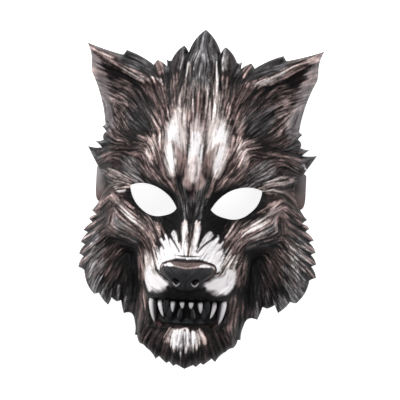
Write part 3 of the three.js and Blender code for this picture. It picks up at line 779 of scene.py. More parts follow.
    def hairs(self, patch: Patch) -> None:
        """Scatters the hairs of a patch, each along the fur.

        Args:
            patch: the patch.
        """
        turn = math.radians(patch.turn)
        for side in (-1, 1):
            if patch.side.value not in (0, side):
                continue
            for _ in range(patch.count):
                reach = math.sqrt(self.random.random())
                angle = self.random.random() * 2 * math.pi
                u = reach * math.cos(angle) * patch.half[0]
                v = reach * math.sin(angle) * patch.half[1]
                x = patch.middle[0] + u * math.cos(turn) - v * math.sin(turn)
                y = patch.middle[1] + u * math.sin(turn) + v * math.cos(turn)
                path = self.trail(np.array([side * x, y]),
                                  patch.length * self.random.uniform(*self.HAIR_LENGTHS))
                taper = patch.width * np.array(self.HAIR_TAPER)
                widths = taper * self.random.uniform(*self.HAIR_WIDTHS)
                # Painted shadow under the hair: a dark stroke dropped just below it.
                if patch.shadow > 0:
                    gap = Mark(Hue.BLACK, (), (), self.SHADOW_SOFT, fray=0, streak=0,
                               cover=patch.shadow, rise=-patch.rise)
                    self.lay(gap, path + (0, -self.SHADOW_DROP * patch.width), widths)
                cover = patch.cover * self.random.uniform(*self.HAIR_COVERS)
                hair = Mark(patch.hue, (), (), self.HAIR_SOFT, fray=0, streak=0,
                            cover=cover, rise=patch.rise)
                self.lay(hair, path, widths)

    def trail(self, start: Grid, length: float, aim: Grid | None = None) -> Grid:
        """Follows the fur from a place.

        Args:
            start: the place, mm.
            length: how far, mm.
            aim: rough direction to set off in, if it matters.

        Returns:
            Points along the fur, one more than TRAIL_STEPS.
        """
        path = [start]
        last = aim
        for _ in range(self.TRAIL_STEPS):
            column, row = (path[-1] - (self.left, self.low)) / self.pitch
            way = self.way[self._cell(row, column)]
            if last is not None and way @ last < 0:
                way = -way
            path.append(path[-1] + way * length / self.TRAIL_STEPS)
            last = way
        return np.array(path)

    def finish(self, contrast: float, grain: float) -> None:
        """Runs the strands through colour and relief where the surface isn't calm.

        Args:
            contrast: how far strands lighten and darken the print.
            grain: height of the strands, mm.
        """
        lively = 1 - self.calm
        strands = self._mix(self.SHADE_MIX)
        gaps = self.GAP_DARK * smooth(-strands - self.GAP_FROM)
        swing = np.exp(contrast * lively * (strands - gaps))
        self.colour = np.clip(self.colour * swing[..., None], self.DARKEST, self.PALEST)
        self.relief += grain * lively * self._mix(self.RELIEF_MIX)

    def read(self, grid: Grid, x: Grid, y: Grid) -> Grid:
        """Reads a grid between its cells.

        Args:
            grid: the grid.
            x: places across, mm.
            y: places up, mm.

        Returns:
            A value or colour for each place.
        """
        column = np.clip((x - self.left) / self.pitch, 0, self.x.shape[1] - self.LAST_CELL)
        row = np.clip((y - self.low) / self.pitch, 0, self.x.shape[0] - self.LAST_CELL)
        j, i = column.astype(int), row.astype(int)
        u, v = column - j, row - i
        if grid.ndim == 3:
            u, v = u[:, None], v[:, None]
        return ((grid[i, j] * (1 - u) + grid[i, j + 1] * u) * (1 - v)
                + (grid[i + 1, j] * (1 - u) + grid[i + 1, j + 1] * u) * v)


def made_of(kind: type, rows: Iterable[tuple]) -> tuple:
    """Makes marks or patches of bare rows, each a hue's name and then the fields in their order."""
    return tuple(kind(Hue[hue], *rest) for hue, *rest in rows)


# Marks of the face, in the order in which they are laid: hue, path, half widths, soft, fray,
# streak, cover, rise, calm, side.
MARKS: tuple[Mark, ...] = made_of(Mark, (
    # Crest and crown
    ("SLATE", ((0, 150), (0, 125), (0, 94)), (4, 11, 8), 8, 3, 0.3, 0.85),
    ("STEEL", ((0, 143), (1, 124), (0, 100)), (1, 4.5, 3), 5, 2, 0.3, 0.7),
    ("BLACK", ((9, 138), (14, 128), (15.5, 116)), (0.8, 2.2, 2.2), 3, 1, 0.3, 0.85),
    ("ASH", ((19, 134), (19.5, 126), (20, 117)), (1.2, 2.2, 1.2), 3, 1, 0.3, 0.75, 0.3),
    ("SOOT", ((29, 121), (31, 108), (31, 92)), (2, 4, 4), 4, 1, 0.3, 0.9),
    ("ASH", ((30, 112), (33, 117), (33.5, 122.5)), (0.8, 1.2, 0.6), 1.2, 1, 0.3, 0.7, 0.3),
    ("ROSE", ((38, 112), (41, 118), (42, 122)), (1.5, 2, 1), 2, 1, 0.3, 0.8, 0.3),
    ("ROSE", ((11, 118), (11, 104), (10.5, 84)), (0.8, 1.4, 1.6), 2, 1, 0.6, 0.8),
    ("BARK", ((3, 104), (3, 90), (3, 76)), (1.2, 1.6, 1), 2, 1, 0.5, 0.8),
    ("ROSE", ((22, 108), (23, 92), (24, 70)), (1.6, 2.8, 2.6), 3, 2, 0.6, 0.8),
    # Ears
    ("SLATE", ((46, 113), (58, 118), (72, 123)), (3, 4, 2), 5, 2, 0.5, 0.6),
    ("SOOT", ((46, 110), (60, 114), (74, 120)), (2, 2.4, 1.5), 3, 1, 0.3, 0.8),
    ("BLACK", ((50, 97), (66, 108), (88, 119)), (4.5, 5, 2.6), 4, 1.5, 0.3, 0.95, -0.3),
    ("SOOT", ((54, 86), (66, 94), (80, 104)), (8, 9, 5), 6, 2, 0.3, 0.9),
    ("BLACK", ((50, 96), (53, 80), (62, 64)), (4, 6.5, 4), 8, 2, 0.3, 0.8),
    ("MAUVE", ((102, 130), (97, 112), (90, 94), (85, 76), (82, 62)),
     (1.5, 6, 7, 6.4, 4), 4.5, 1.4, 0.05, 0.97, 0, 0.85),
    ("BLUSH", ((101, 113), (96, 112), (90, 109)), (3, 3.4, 1.6), 5, 1, 0.3, 0.55, 0, 0.8),
    ("STEEL", ((86, 84), (83.5, 73), (82, 62)), (3.4, 4, 3), 5, 1, 0.3, 0.7, 0, 0.85),
    ("ASH", ((95, 104), (91, 94), (87, 82)), (2, 3, 2), 5, 1, 0.3, 0.5, 0, 0.8),
    ("ROSE", ((42, 103), (68, 113), (103, 133)), (2, 3.4, 2.4), 3, 1.6, 0.3, 0.9, 0.4),
    ("BLUSH", ((74, 118), (88, 124), (101, 131)), (1.2, 1.8, 1), 2.5, 1, 0.3, 0.7),
    ("CREAM", ((48, 104.5), (60, 108.5), (72, 115)), (0.8, 2, 1), 3.6, 0.8, 0.3, 0.6, 0.3),
    ("EARTH", ((76, 124), (88, 129), (103, 134.5)), (0.8, 1.2, 0.6), 1.4, 1, 0.3, 0.7),
    ("SAND", ((34, 101), (38, 105), (43, 107)), (0.7, 1, 0.4), 1.2, 1, 0.3, 0.7, 0, 0, Side.LEFT),
    ("ROSE", ((30, 96), (34, 98), (38, 99)), (0.5, 0.8, 0.4), 1.2, 1, 0.3, 0.7, 0, 0, Side.LEFT),
    # Sides of the forehead
    ("SOOT", ((52, 56), (46, 74), (36, 92)), (7, 9, 5), 8, 3, 0.3, 0.75),
    ("BLACK", ((62, 50), (52, 52), (42, 60)), (3.5, 4.5, 3), 5, 2.5, 0.3, 0.8),
    ("CLAY", ((33, 88), (35, 74), (36, 62)), (2.5, 3.5, 3), 5, 3, 0.7, 0.7),
    # White middle of the forehead
    ("ROSE", ((0, 98), (0, 82), (0, 64)), (3.2, 4.6, 6.5), 5, 1.6, 0.3, 0.75, 0, 0.4),
    ("SAND", ((0, 72), (0, 62), (0, 50)), (2.6, 5.6, 5.8), 6, 0.8, 0.05, 0.8, 0, 0.85),
    ("WHITE", ((0, 57), (0, 43), (0, 31)), (2, 5, 5), 6, 0.4, 0, 1, 0, 0.9),
    ("SAND", ((0, 34), (0, 28), (0, 23)), (3, 5.4, 5), 6, 0.4, 0, 0.8, 0, 0.9),
    ("SAND", ((17.5, 66), (16, 80), (13.5, 98)), (4.2, 2.8, 1.4), 3, 1, 0.45, 0.85, 0, 0.2),
    ("CREAM", ((17, 66), (16.5, 78), (15, 92)), (2.2, 1.4, 0.9), 2, 1, 0.4),
    ("CREAM", ((18, 72), (19, 58), (19, 46)), (4.6, 9.8, 9), 9, 0.6, 0.04, 1, 0, 0.92),
    ("WHITE", ((22, 66), (21, 56), (20, 47)), (2.4, 5.6, 5.2), 7.5, 0.5, 0, 0.92, 0, 0.9),
    ("CREAM", ((22.5, 46), (21.5, 34), (19.5, 21.5)), (5.2, 5.2, 2), 5.5, 0.5, 0, 1, 0, 0.85),
    ("WHITE", ((22.5, 44), (21, 34), (19.5, 25)), (3.2, 3, 1.2), 5, 0.3, 0, 0.95, 0, 0.9),
    ("BLUSH", ((27.5, 64), (27, 74), (26, 86)), (1, 0.7, 0.4), 1.2, 1, 0.4, 0.7),
    ("ROSE", ((10, 28), (13.4, 38), (18.6, 48)), (3.6, 4.4, 1.6), 5.5, 0.2, 0, 0.8, 0, 0.85),
    ("CLAY", ((10.4, 31), (12, 37), (15, 44)), (2.2, 2, 0.6), 4.5, 0.2, 0, 0.6, 0, 0.85),
    ("EARTH", ((9.6, 40), (10.4, 29), (14, 19)), (0.6, 1.8, 2.2), 4.5, 0.3, 0, 0.8, 0, 0.6),
    ("CLAY", ((8, 100), (8.4, 78), (8.6, 62), (8.8, 44), (9.6, 26)),
     (0.6, 0.7, 0.6, 0.5, 1), 2, 0.2, 0.1, 0.6),
    ("SAND", ((8.6, 118), (8, 98), (6.4, 74)),
     (0.4, 0.9, 1.1), 0.9, 0.4, 0.3, 1, 0.3, 0, Side.RIGHT),
    ("SAND", ((6.6, 117), (5.2, 98), (4.4, 78)),
     (0.4, 0.9, 1), 0.9, 0.4, 0.3, 1, 0.3, 0, Side.LEFT),
    ("CREAM", ((12.6, 122), (13.8, 108), (16.5, 90)),
     (0.5, 1.4, 2), 1, 0.8, 0.3, 1, 0.3, 0, Side.RIGHT),
    ("CREAM", ((11.6, 121), (12.4, 106), (13.6, 90)),
     (0.5, 1.3, 1.8), 1, 0.8, 0.3, 1, 0.3, 0, Side.LEFT),
    # Brows
    ("BLUSH", ((31, 56), (31, 48), (29.5, 40)), (1.6, 2.8, 2.2), 2.6, 1.4, 0.2, 0.85),
    ("CLAY", ((28.6, 60), (28, 53), (27.6, 47)), (0.6, 0.9, 0.6), 1.2, 1, 0.3, 0.8),
    ("BLUSH", ((38, 53), (40.5, 43), (41.5, 31)), (2, 4, 2.6), 2.4, 2.4, 0.6, 0.85),
    ("SAND", ((37.5, 51), (37.5, 45), (36.5, 38)), (0.8, 1.2, 0.7), 1.2, 1, 0.3, 0.9),
    ("SAND", ((43.5, 46), (43, 38), (41.5, 29)), (0.8, 1.5, 0.9), 1.2, 1, 0.3, 0.9),
    ("EARTH", ((34.5, 42), (32, 33), (27, 24)), (1.4, 2.8, 1.6), 2.2, 1.6, 0.3, 0.9),
    ("WINE", ((35.5, 36), (33, 30), (30, 25)), (0.8, 1.6, 0.8), 1.6, 1, 0.3, 0.7),
    ("CLAY", ((17, 12), (28, 19), (44, 26)), (3.5, 5, 3.5), 5, 2.4, 0.5, 0.75),
    ("ROSE", ((18, 9), (24, 14), (31, 18)), (1.8, 2.6, 1.6), 2.6, 1.4, 0.4, 0.7),
    ("EARTH", ((46, 30), (58, 34), (70, 34)), (4, 6, 5), 6, 3, 0.6, 0.6),
    ("BARK", ((34, 12), (46, 20), (58, 30)), (2.2, 3, 2.4), 3, 1.6, 0.4, 0.7),
    # Round the eyes and over the bridge
    ("SOOT", ((0, 0), (0, -12), (0, -24)), (8, 10.5, 9), 5, 2, 0, 0.95),
    ("BLACK", ((12.5, -12), (14, -3), (21, 4), (32, 10.5), (43, 13)),
     (4, 4.5, 4, 2.6, 1.2), 3, 1.2, 0, 1, 0, 0.3),
    ("BLACK", ((12, -8), (16, -17), (30, -21), (43, -18.5), (53, -10), (59, 2)),
     (4.4, 5.4, 5.2, 4.2, 3.2, 2.2), 4, 1.8, 0, 0.97),
    ("SOOT", ((60, 9), (60, 3), (58, -3)), (1.6, 2.4, 2.6), 2.4, 1, 0.3, 0.9),
    ("SLATE", ((9, 8), (8, -2), (6, -13)), (1.2, 2, 1.2), 3, 1.6, 0.7, 0.6),
    ("ROSE", ((18, 17), (15, 9), (12.6, 3)), (1, 2, 0.8), 2.4, 1, 0.3, 0.8, 0, 0.4),
    ("STEEL", ((7, -13), (6.5, -16), (5, -18)), (0.6, 1.4, 0.8), 1.6, 1, 0.5, 0.5),
    ("BLACK", ((11, -20), (19, -25), (29, -27)), (3.5, 5.5, 4), 3, 1.2, 0),
    # Knot between the brows
    ("BLACK", ((13.6, 19), (9.6, 8), (0, 3)), (2.4, 3.8, 3), 4.5, 0.4, 0, 1, 0, 0.6),
    ("BLUSH", ((3, 26), (3.4, 20), (4.8, 16)), (3.4, 4.4, 4.6), 4, 0.2, 0, 1, 0, 0.97),
    ("CREAM", ((0, 37), (0, 28), (0, 19)), (3.4, 4.6, 3.6), 6, 0, 0, 0.7, 0, 0.97),
    ("BLUSH", ((0, 32), (3, 32.4), (5, 33.4)), (0.8, 1, 0.6), 4, 0, 0, 0.35, 0, 0.97),
    ("ROSE", ((5.6, 15), (4.4, 12), (2, 9.8)), (3.4, 3, 1.4), 3.4, 0, 0, 0.75, 0.4, 0.95),
    ("WINE", ((0, 10.5), (0, 7), (0, 2)), (0.1, 0.8, 2.4), 2, 0, 0, 1, -0.5),
    # White bands of the bridge and the white cheeks of the muzzle
    ("CREAM", ((5.6, -21), (5, -34), (3.6, -48)), (2.6, 3.3, 3.2), 1.4, 0.8, 0.1, 1, 0.5, 0.5),
    ("WHITE", ((6, -25), (5.2, -36), (3.4, -47)), (1.5, 1.9, 1.8), 1.4, 0.6, 0, 1, 0, 0.6),
    ("WHITE", ((15.8, -30), (12.4, -37), (7.6, -45.5)), (2.4, 2.3, 1), 1, 0.6, 0, 1, 0.5, 0.6),
    ("WHITE", ((13, -46), (21, -43), (26, -59)), (4.4, 6.6, 3.4), 2, 0.8, 0, 1, 0, 0.9),
    ("WHITE", ((23, -31), (22, -36), (19, -41)), (0.4, 1.6, 2.6), 1, 0.8, 0, 1, 0, 0.5),
    ("WHITE", ((28, -36), (25.5, -40), (22, -45)), (0.4, 1.3, 2.2), 1, 0.8, 0, 1, 0, 0.5),
    ("WHITE", ((31.5, -41), (28.5, -48), (27, -56)), (0.5, 1.8, 2.2), 1.2, 1, 0, 1, 0, 0.4),
    ("WHITE", ((4, -47.5), (12, -48), (20, -50)), (1.6, 2, 2.6), 1, 0.3, 0, 1, 0, 0.7),
    ("WHITE", ((0, -51), (12, -50.8), (22, -55)), (1, 1.1, 1.4), 0.8, 0.2, 0, 1, 0, 0.7),
    ("SOOT", ((22.5, -31.5), (14.5, -37.5), (8, -46)), (0.5, 0.9, 0.5), 0.8, 0.2, 0, 1, -0.5),
    ("BLACK", ((11.6, -19), (9.4, -30), (6.8, -41)), (1.8, 1.3, 0.3), 0.9, 0.3, 0, 1, -0.4),
    ("BARK", ((0, -24), (0, -36), (0, -50)), (0.6, 0.5, 0.6), 0.9, 0.2, 0, 1, -0.4),
    ("BLACK", ((0, -49.7), (6, -49.5), (11.5, -48.6)), (0.7, 0.6, 0.1), 0.7, 0.1, 0, 1, -0.4),
    ("EARTH", ((24, -44), (27, -41), (31, -37)), (0.3, 0.9, 1.2), 0.8, 1, 0, 0.9),
    # Brown side of the muzzle, its pale strands and the cheekbone line
    ("EARTH", ((32, -28), (40, -36), (37, -50)), (5.5, 6, 3.5), 4, 2.4, 0.2, 0.85),
    ("CLAY", ((40, -28), (48, -30), (60, -28)), (4, 5, 4), 4, 2, 0.5, 0.6),
    ("CREAM", ((34.5, -43), (32, -50), (29, -60)), (0.6, 1.5, 1.5), 1, 0.8, 0.1, 1, 0.3),
    ("CREAM", ((38, -48), (35, -56), (33.5, -65)), (0.8, 2, 2.6), 1.6, 1, 0.1, 1, 0.3, 0.4),
    ("BLUSH", ((35, -21), (31.5, -26), (29, -32)), (0.6, 1.4, 0.7), 1, 0.8, 0.2),
    ("BLUSH", ((39.5, -23), (36, -28), (32.5, -34)), (0.5, 1.2, 0.6), 1, 0.8, 0.2),
    ("BLUSH", ((41, -48), (46, -42.5), (54, -38), (64, -34.5), (76, -30)),
     (1, 0.9, 0.7, 0.6, 0.3), 0.8, 0.5, 0.2, 0.85, 0.6),
    ("CREAM", ((38, -66), (38.4, -56), (41.5, -47)),
     (2.6, 1.8, 0.8), 1.4, 0.6, 0.1, 0.95, 0.5, 0.5),
    # White lobes over the lips
    ("WHITE", ((18, -75), (27, -74), (35, -68)), (3, 7, 4.8), 4, 0, 0, 1, 0, 0.97),
    ("WHITE", ((35.5, -62), (37, -71), (33, -80)), (2.6, 3.4, 2.2), 1.6, 0.3, 0, 1, 0, 0.95),
    ("SAND", ((24, -65), (27, -65.5), (30, -64)), (0.7, 1.2, 0.8), 2, 1, 0, 0.7, 0, 0.5),
    # Painted shade along the lower side of the white lobes.
    ("ASH", ((14, -77.5), (22, -80), (31, -81.5)), (1.6, 2, 1.2), 4.5, 0.2, 0, 0.75, 0, 0.9),
    ("MIST", ((36.5, -66), (35, -75), (29, -80)), (0.3, 0.6, 0.3), 1, 1, 0, 0.6),
    ("BLACK", ((11, -80), (24, -85), (36, -84.5), (40.5, -76), (41.5, -64)),
     (2.4, 2, 1.5, 1.2, 0.6), 3, 0.2, 0, 1, 0, 0.8),
    # Painted shade on the white lobe, under the side of the nose.
    ("SOOT", ((15.5, -73.5), (15.5, -77.5), (21, -82)), (1, 1.8, 1), 3.4, 0.3, 0, 0.8),
    ("BLUSH", ((44.5, -54), (42, -62), (41, -72)), (0.4, 0.9, 0.6), 0.9, 0.5, 0.3, 0.8),
    # Cheek under the eye
    ("BARK", ((36, -23), (47, -19), (60, -7)), (2.4, 3, 2), 3, 1.6, 0.3, 0.7),
    ("CLAY", ((52, -27), (62, -21), (72, -12)), (3, 4, 3), 3.4, 2, 0.5, 0.8),
    ("BLUSH", ((44, -26), (58, -18), (74, -4)), (1.6, 4.4, 1.8), 3.4, 1.6, 0.4, 1, 0.3),
    ("SAND", ((45, -26), (58, -17.5), (71, -4.5)), (1.2, 3.2, 1.2), 3, 1.4, 0.3, 1, 0.3, 0.2),
    ("CREAM", ((50, -23), (58, -17), (66, -9.5)), (0.5, 2, 0.8), 3, 1, 0.2, 0.7),
    ("BLUSH", ((50, -17.5), (61, -10.5), (77, 3)), (0.5, 1.4, 0.8), 1.2, 1, 0.3, 0.85, 0.2),
    ("ROSE", ((56, -10), (64, -3), (70, 1)), (0.6, 1.2, 0.6), 1.2, 1, 0.4, 0.7),
    ("EARTH", ((47, -21), (55, -16), (66, -7)), (0.3, 0.8, 0.5), 0.8, 0.4, 0.2, 0.8),
    ("ASH", ((48, -33), (60, -27.5), (71, -20)), (0.3, 0.7, 0.4), 0.9, 0.5, 0.3, 0.7),
    # Outer corner of the eye
    ("ASH", ((42, 12), (52, 15.5), (63, 18)), (1, 3, 2.6), 3.4, 2, 0.5, 0.9, 0, 0.1),
    ("BLUSH", ((60, 12.5), (70, 15), (82, 21)), (3.4, 5, 2.4), 3, 2.4, 0.4, 0.85),
    ("SAND", ((60, 10.6), (67, 11.8), (74, 14)), (0.5, 1.1, 0.5), 1.4, 1, 0.5, 1, 0.3),
    ("SAND", ((64, 18), (72, 20), (80, 24)), (0.6, 1.2, 0.6), 1.2, 1, 0.4, 1, 0.2),
    ("SAND", ((64, 6.5), (69, 6), (74, 8.5)), (0.8, 1.6, 0.8), 1.4, 1, 0.3, 1, 0, 0, Side.LEFT),
    ("EARTH", ((66, 14), (71, 14), (76, 16.5)), (0.4, 1, 0.5), 1, 0.8, 0.2, 0.8),
    # Temples
    ("CLAY", ((66, 42), (78, 40), (90, 40)), (5, 7, 4), 6, 3, 0.7, 0.5),
    ("STEEL", ((91, 36), (96, 39.5), (102.5, 44)), (2.6, 2.8, 0.8), 2, 0.8, 0.3, 0.85, 0, 0.3),
    ("BLACK", ((87, 44.5), (94, 42.5), (102, 44.6)), (0.8, 0.9, 0.5), 0.8, 0.3, 0),
    ("SAND", ((89, 46), (93, 47.5), (96, 48.4)), (1, 1.6, 0.8), 1, 1, 0, 1, 0, 0, Side.RIGHT),
    ("ASH", ((89, 46), (93, 47.5), (96, 48.4)), (1, 1.5, 0.8), 1, 1, 0, 1, 0, 0, Side.LEFT),
    ("SAND", ((83.5, 33.8), (86, 32.2), (88.5, 31)),
     (0.4, 1, 0.4), 0.7, 0.3, 0.3, 1, 0.3, 0, Side.RIGHT),
    ("SAND", ((91, 37), (93, 35), (95, 31.5)), (0.4, 1, 0.4), 0.7, 0.3, 0.3, 1, 0.3, 0, Side.RIGHT),
    ("SAND", ((92.5, 41.5), (93, 38.5), (91.5, 35.5)),
     (0.4, 0.7, 0.4), 0.9, 0.4, 0.3, 1, 0, 0, Side.LEFT),
    # Painted shadow along the lower edge of the temple lock, where it overhangs the strap tab.
    ("BLACK", ((96, 29), (91, 22), (84, 14)), (1.2, 1.5, 1), 2, 0.6, 0),
    # Outer cheek and ruff
    ("EARTH", ((82, 8), (84, -10), (86, -26)), (6, 9, 10), 7, 3, 0.3, 0.7),
    ("EARTH", ((90, -26), (97, -48), (88, -76)), (9, 12, 9), 8, 3, 0.3, 0.6),
    ("BLACK", ((47, -44), (55, -60), (52, -84)), (6, 12, 10), 7, 2.6, 0, 0.97),
    ("BLACK", ((66, -58), (66, -74), (70, -86)), (6, 8, 7), 7, 3, 0.1, 0.85),
    ("TEAL", ((50, -38), (62, -36), (74, -36)), (2, 3.6, 3), 4, 1.6, 0.3, 0.8),
    ("EARTH", ((65, -46), (68, -51), (71, -57)), (1.4, 2.8, 1.6), 3, 1.4, 0.4, 0.75),
    ("ROSE", ((66, -48), (67.5, -50), (69, -52)), (0.6, 1.2, 0.6), 2, 1, 0.3, 0.5),
    # Mouth, lips and chin
    ("BLACK", ((0, -80), (11, -80), (16, -77)), (4, 3.4, 1.6), 1.6, 0.4, 0, 1, 0, 0.8),
    ("BLACK", ((0, -87), (15, -87), (28, -89)), (4.5, 4.5, 4), 2, 0.4, 0, 1, 0, 0.85),
    ("BLACK", ((0, -98), (15, -98), (29, -97)), (12, 11.5, 9.5), 2, 0.4, 0, 1, 0, 0.9),
    ("TEAL", ((0, -106.5), (14, -106), (24, -101)), (1.4, 1.6, 0.8), 2.2, 0.3, 0.1, 0.8, 0, 0.8),
    ("WINE", ((26, -101), (25.5, -106), (23, -111)), (1.2, 1.8, 1.2), 2, 1, 0.2, 0.5),
    ("SOOT", ((0, -141), (20, -135), (36, -120)), (11, 10, 6), 5, 2, 0.1, 0.95),
    ("CLAY", ((41, -88), (42.5, -100), (40, -112)), (3, 3.2, 2), 4, 2, 0.5, 0.7),
    ("BLACK", ((47.5, -101), (47.5, -111), (44, -123)), (2, 2.6, 2.2), 2.6, 1, 0, 0.9),
    ("BLACK", ((16, -113), (26, -113.5), (33, -108)), (1.4, 2, 1.4), 2, 0.6, 0.1, 0.9),
    ("CREAM", ((0, -119.5), (0, -124), (0, -131)), (5.5, 6, 3), 2, 1.6, 0.15, 1, 0, 0.4),
    ("CREAM", ((7.5, -119.5), (7.5, -124), (6, -131)), (4.8, 5, 2.4), 2, 1.6, 0.15, 1, 0, 0.4),
    ("WHITE", ((0, -119), (0, -123), (0, -128)), (4, 4.5, 2), 2.4, 1.6, 0.25, 1, 0, 0.3),
    ("WHITE", ((6.5, -119), (6.5, -122.5), (5, -127)), (3.4, 3.4, 1.6), 2.4, 1.6, 0.25, 1, 0, 0.3),
    ("BLUSH", ((12.5, -114.5), (14.5, -118), (17, -124)), (1.6, 2.6, 1.2), 2, 1, 0.3, 1, 0, 0.5),
    ("SAND", ((11.5, -114.5), (13, -117), (14.5, -121.5)), (1, 1.8, 1), 1.6, 0.8, 0.1, 1, 0, 0.5),
))

# Patches of hairs, laid after the marks: hue, middle, half sizes, turn, count, length, half width,
# cover, rise, shadow, side.
PATCHES: tuple[Patch, ...] = made_of(Patch, (
    ("ASH", (4, 120), (9, 22), 0, 74, 14, 0.25, 0.55, 0.2),
    ("SOOT", (9, 120), (12, 20), 0, 120, 13, 0.3, 0.75, -0.2),
    ("EARTH", (16, 96), (11, 13), 0, 100, 13, 0.25, 0.75, -0.2),
    ("SAND", (16, 84), (9, 18), 0, 48, 14, 0.25, 0.7, 0.2),
    ("CLAY", (1, 80), (7, 12), 0, 50, 13, 0.22, 0.5, -0.1),
    ("ROSE", (16, 78), (9, 8), 0, 40, 12, 0.22, 0.4, 0.1),
    ("STEEL", (58, 118), (14, 5), 20, 80, 10, 0.25, 0.6, 0.2),
    ("SOOT", (58, 116), (16, 5), 20, 64, 10, 0.29, 0.6, -0.2),
    ("ROSE", (68, 89), (12, 16), -20, 144, 8, 0.3, 0.8, 0.25),
    ("BLACK", (68, 92), (13, 18), -20, 176, 8, 0.34, 0.85, -0.25),
    ("BLUSH", (72, 82), (8, 9), -10, 60, 7, 0.34, 0.85, 0.3, 0.8),
    ("BLUSH", (68, 66), (10, 8), 20, 42, 8, 0.25, 0.6, 0.2),
    ("CLAY", (40, 80), (13, 17), 20, 176, 14, 0.22, 0.7, 0.2),
    ("BLACK", (48, 72), (14, 17), 20, 192, 15, 0.32, 0.75, -0.25),
    ("STEEL", (50, 70), (13, 15), 20, 96, 14, 0.2, 0.5, 0.2),
    ("BLUSH", (36, 64), (4, 7), 0, 26, 7, 0.22, 0.7, 0.2),
    ("BLUSH", (39, 40), (8, 14), -20, 74, 10, 0.27, 0.75, 0.2),
    ("EARTH", (37, 38), (9, 16), -20, 96, 10, 0.29, 0.75, -0.2),
    ("ROSE", (38, 22), (14, 7), 35, 80, 11, 0.25, 0.6, 0.2),
    ("BLACK", (38, 18), (16, 7), 35, 128, 12, 0.3, 0.75, -0.2),
    ("ASH", (54, 24), (11, 7), 30, 64, 13, 0.25, 0.65, 0.2),
    ("ROSE", (74, 44), (15, 12), 0, 128, 9, 0.25, 0.55, 0.2),
    ("BLACK", (74, 42), (18, 14), 0, 176, 9, 0.32, 0.75, -0.25),
    ("SAND", (70, 16), (12, 6), 15, 80, 10, 0.27, 0.7, 0.25),
    ("EARTH", (70, 14), (13, 8), 15, 96, 10, 0.29, 0.75, -0.2),
    ("ASH", (6, -3), (7, 12), 0, 34, 11, 0.22, 0.5, 0.25),
    ("ROSE", (86, -12), (9, 16), 0, 112, 11, 0.25, 0.55, 0.25),
    ("BLACK", (85, -12), (10, 18), 0, 144, 12, 0.32, 0.75, -0.25),
    ("ROSE", (72, -14), (7, 14), 0, 80, 11, 0.25, 0.6, 0.2),
    ("BARK", (66, -16), (14, 10), 30, 96, 12, 0.27, 0.7, -0.2),
    ("ASH", (62, -27), (14, 4), 28, 42, 13, 0.25, 0.6, 0.2),
    ("BLUSH", (36, -36), (8, 14), -10, 96, 11, 0.25, 0.7, 0.2),
    ("EARTH", (36, -42), (8, 18), -10, 112, 11, 0.27, 0.75, -0.2),
    ("BLACK", (84, -50), (20, 30), 0, 300, 15, 0.5, 0.85, -0.3),
    ("ROSE", (84, -44), (17, 27), 0, 120, 13, 0.3, 0.6, 0.3, 0.6),
    ("ASH", (90, -50), (14, 28), 0, 110, 13, 0.32, 0.8, 0.35, 0.8),
    ("MIST", (93, -48), (10, 20), 0, 44, 10, 0.42, 0.85, 0.4, 0.9),
    ("BLACK", (80, -80), (14, 10), 0, 110, 11, 0.6, 0.9, -0.3),
    ("BLACK", (98, -66), (7, 10), 0, 40, 9, 0.5, 0.9, -0.3),
    ("MIST", (83, -78), (8, 10), 0, 18, 12, 0.4, 0.7, 0.4, 0.8),
    ("STEEL", (74, -84), (14, 8), 0, 42, 10, 0.36, 0.6, 0.3),
    ("CREAM", (91, -44), (8, 14), 0, 34, 7, 0.55, 0.9, 0.5, 0.9, Side.RIGHT),
    ("CREAM", (96, -46), (8, 9), 0, 16, 8, 0.48, 0.9, 0.5, 0.9, Side.LEFT),
    ("TEAL", (56, -66), (14, 24), 0, 90, 16, 0.27, 0.4, 0.15),
    ("EARTH", (66, -64), (8, 18), 0, 80, 14, 0.27, 0.45, 0.2),
    ("ROSE", (44, -66), (4, 14), 0, 42, 11, 0.27, 0.6, 0.2),
    ("ROSE", (39, -93), (3, 8), 0, 29, 8, 0.32, 0.75, 0.25),
    ("EARTH", (40, -106), (8, 16), 0, 112, 12, 0.32, 0.6, 0.2),
    ("BLACK", (40, -110), (10, 18), 0, 112, 12, 0.32, 0.7, -0.2),
    ("EARTH", (24, -124), (14, 12), 0, 110, 12, 0.27, 0.45, 0.2),
    ("EARTH", (8, -138), (14, 7), 0, 80, 10, 0.27, 0.45, 0.2),
    ("MIST", (0, -124), (10, 6), 0, 80, 9, 0.25, 0.6, 0.2),
    ("SOOT", (0, -131), (16, 5), 0, 80, 9, 0.36, 0.85, -0.2),
    ("CLAY", (4, -118), (12, 6), 0, 38, 8, 0.25, 0.6, -0.15),
))

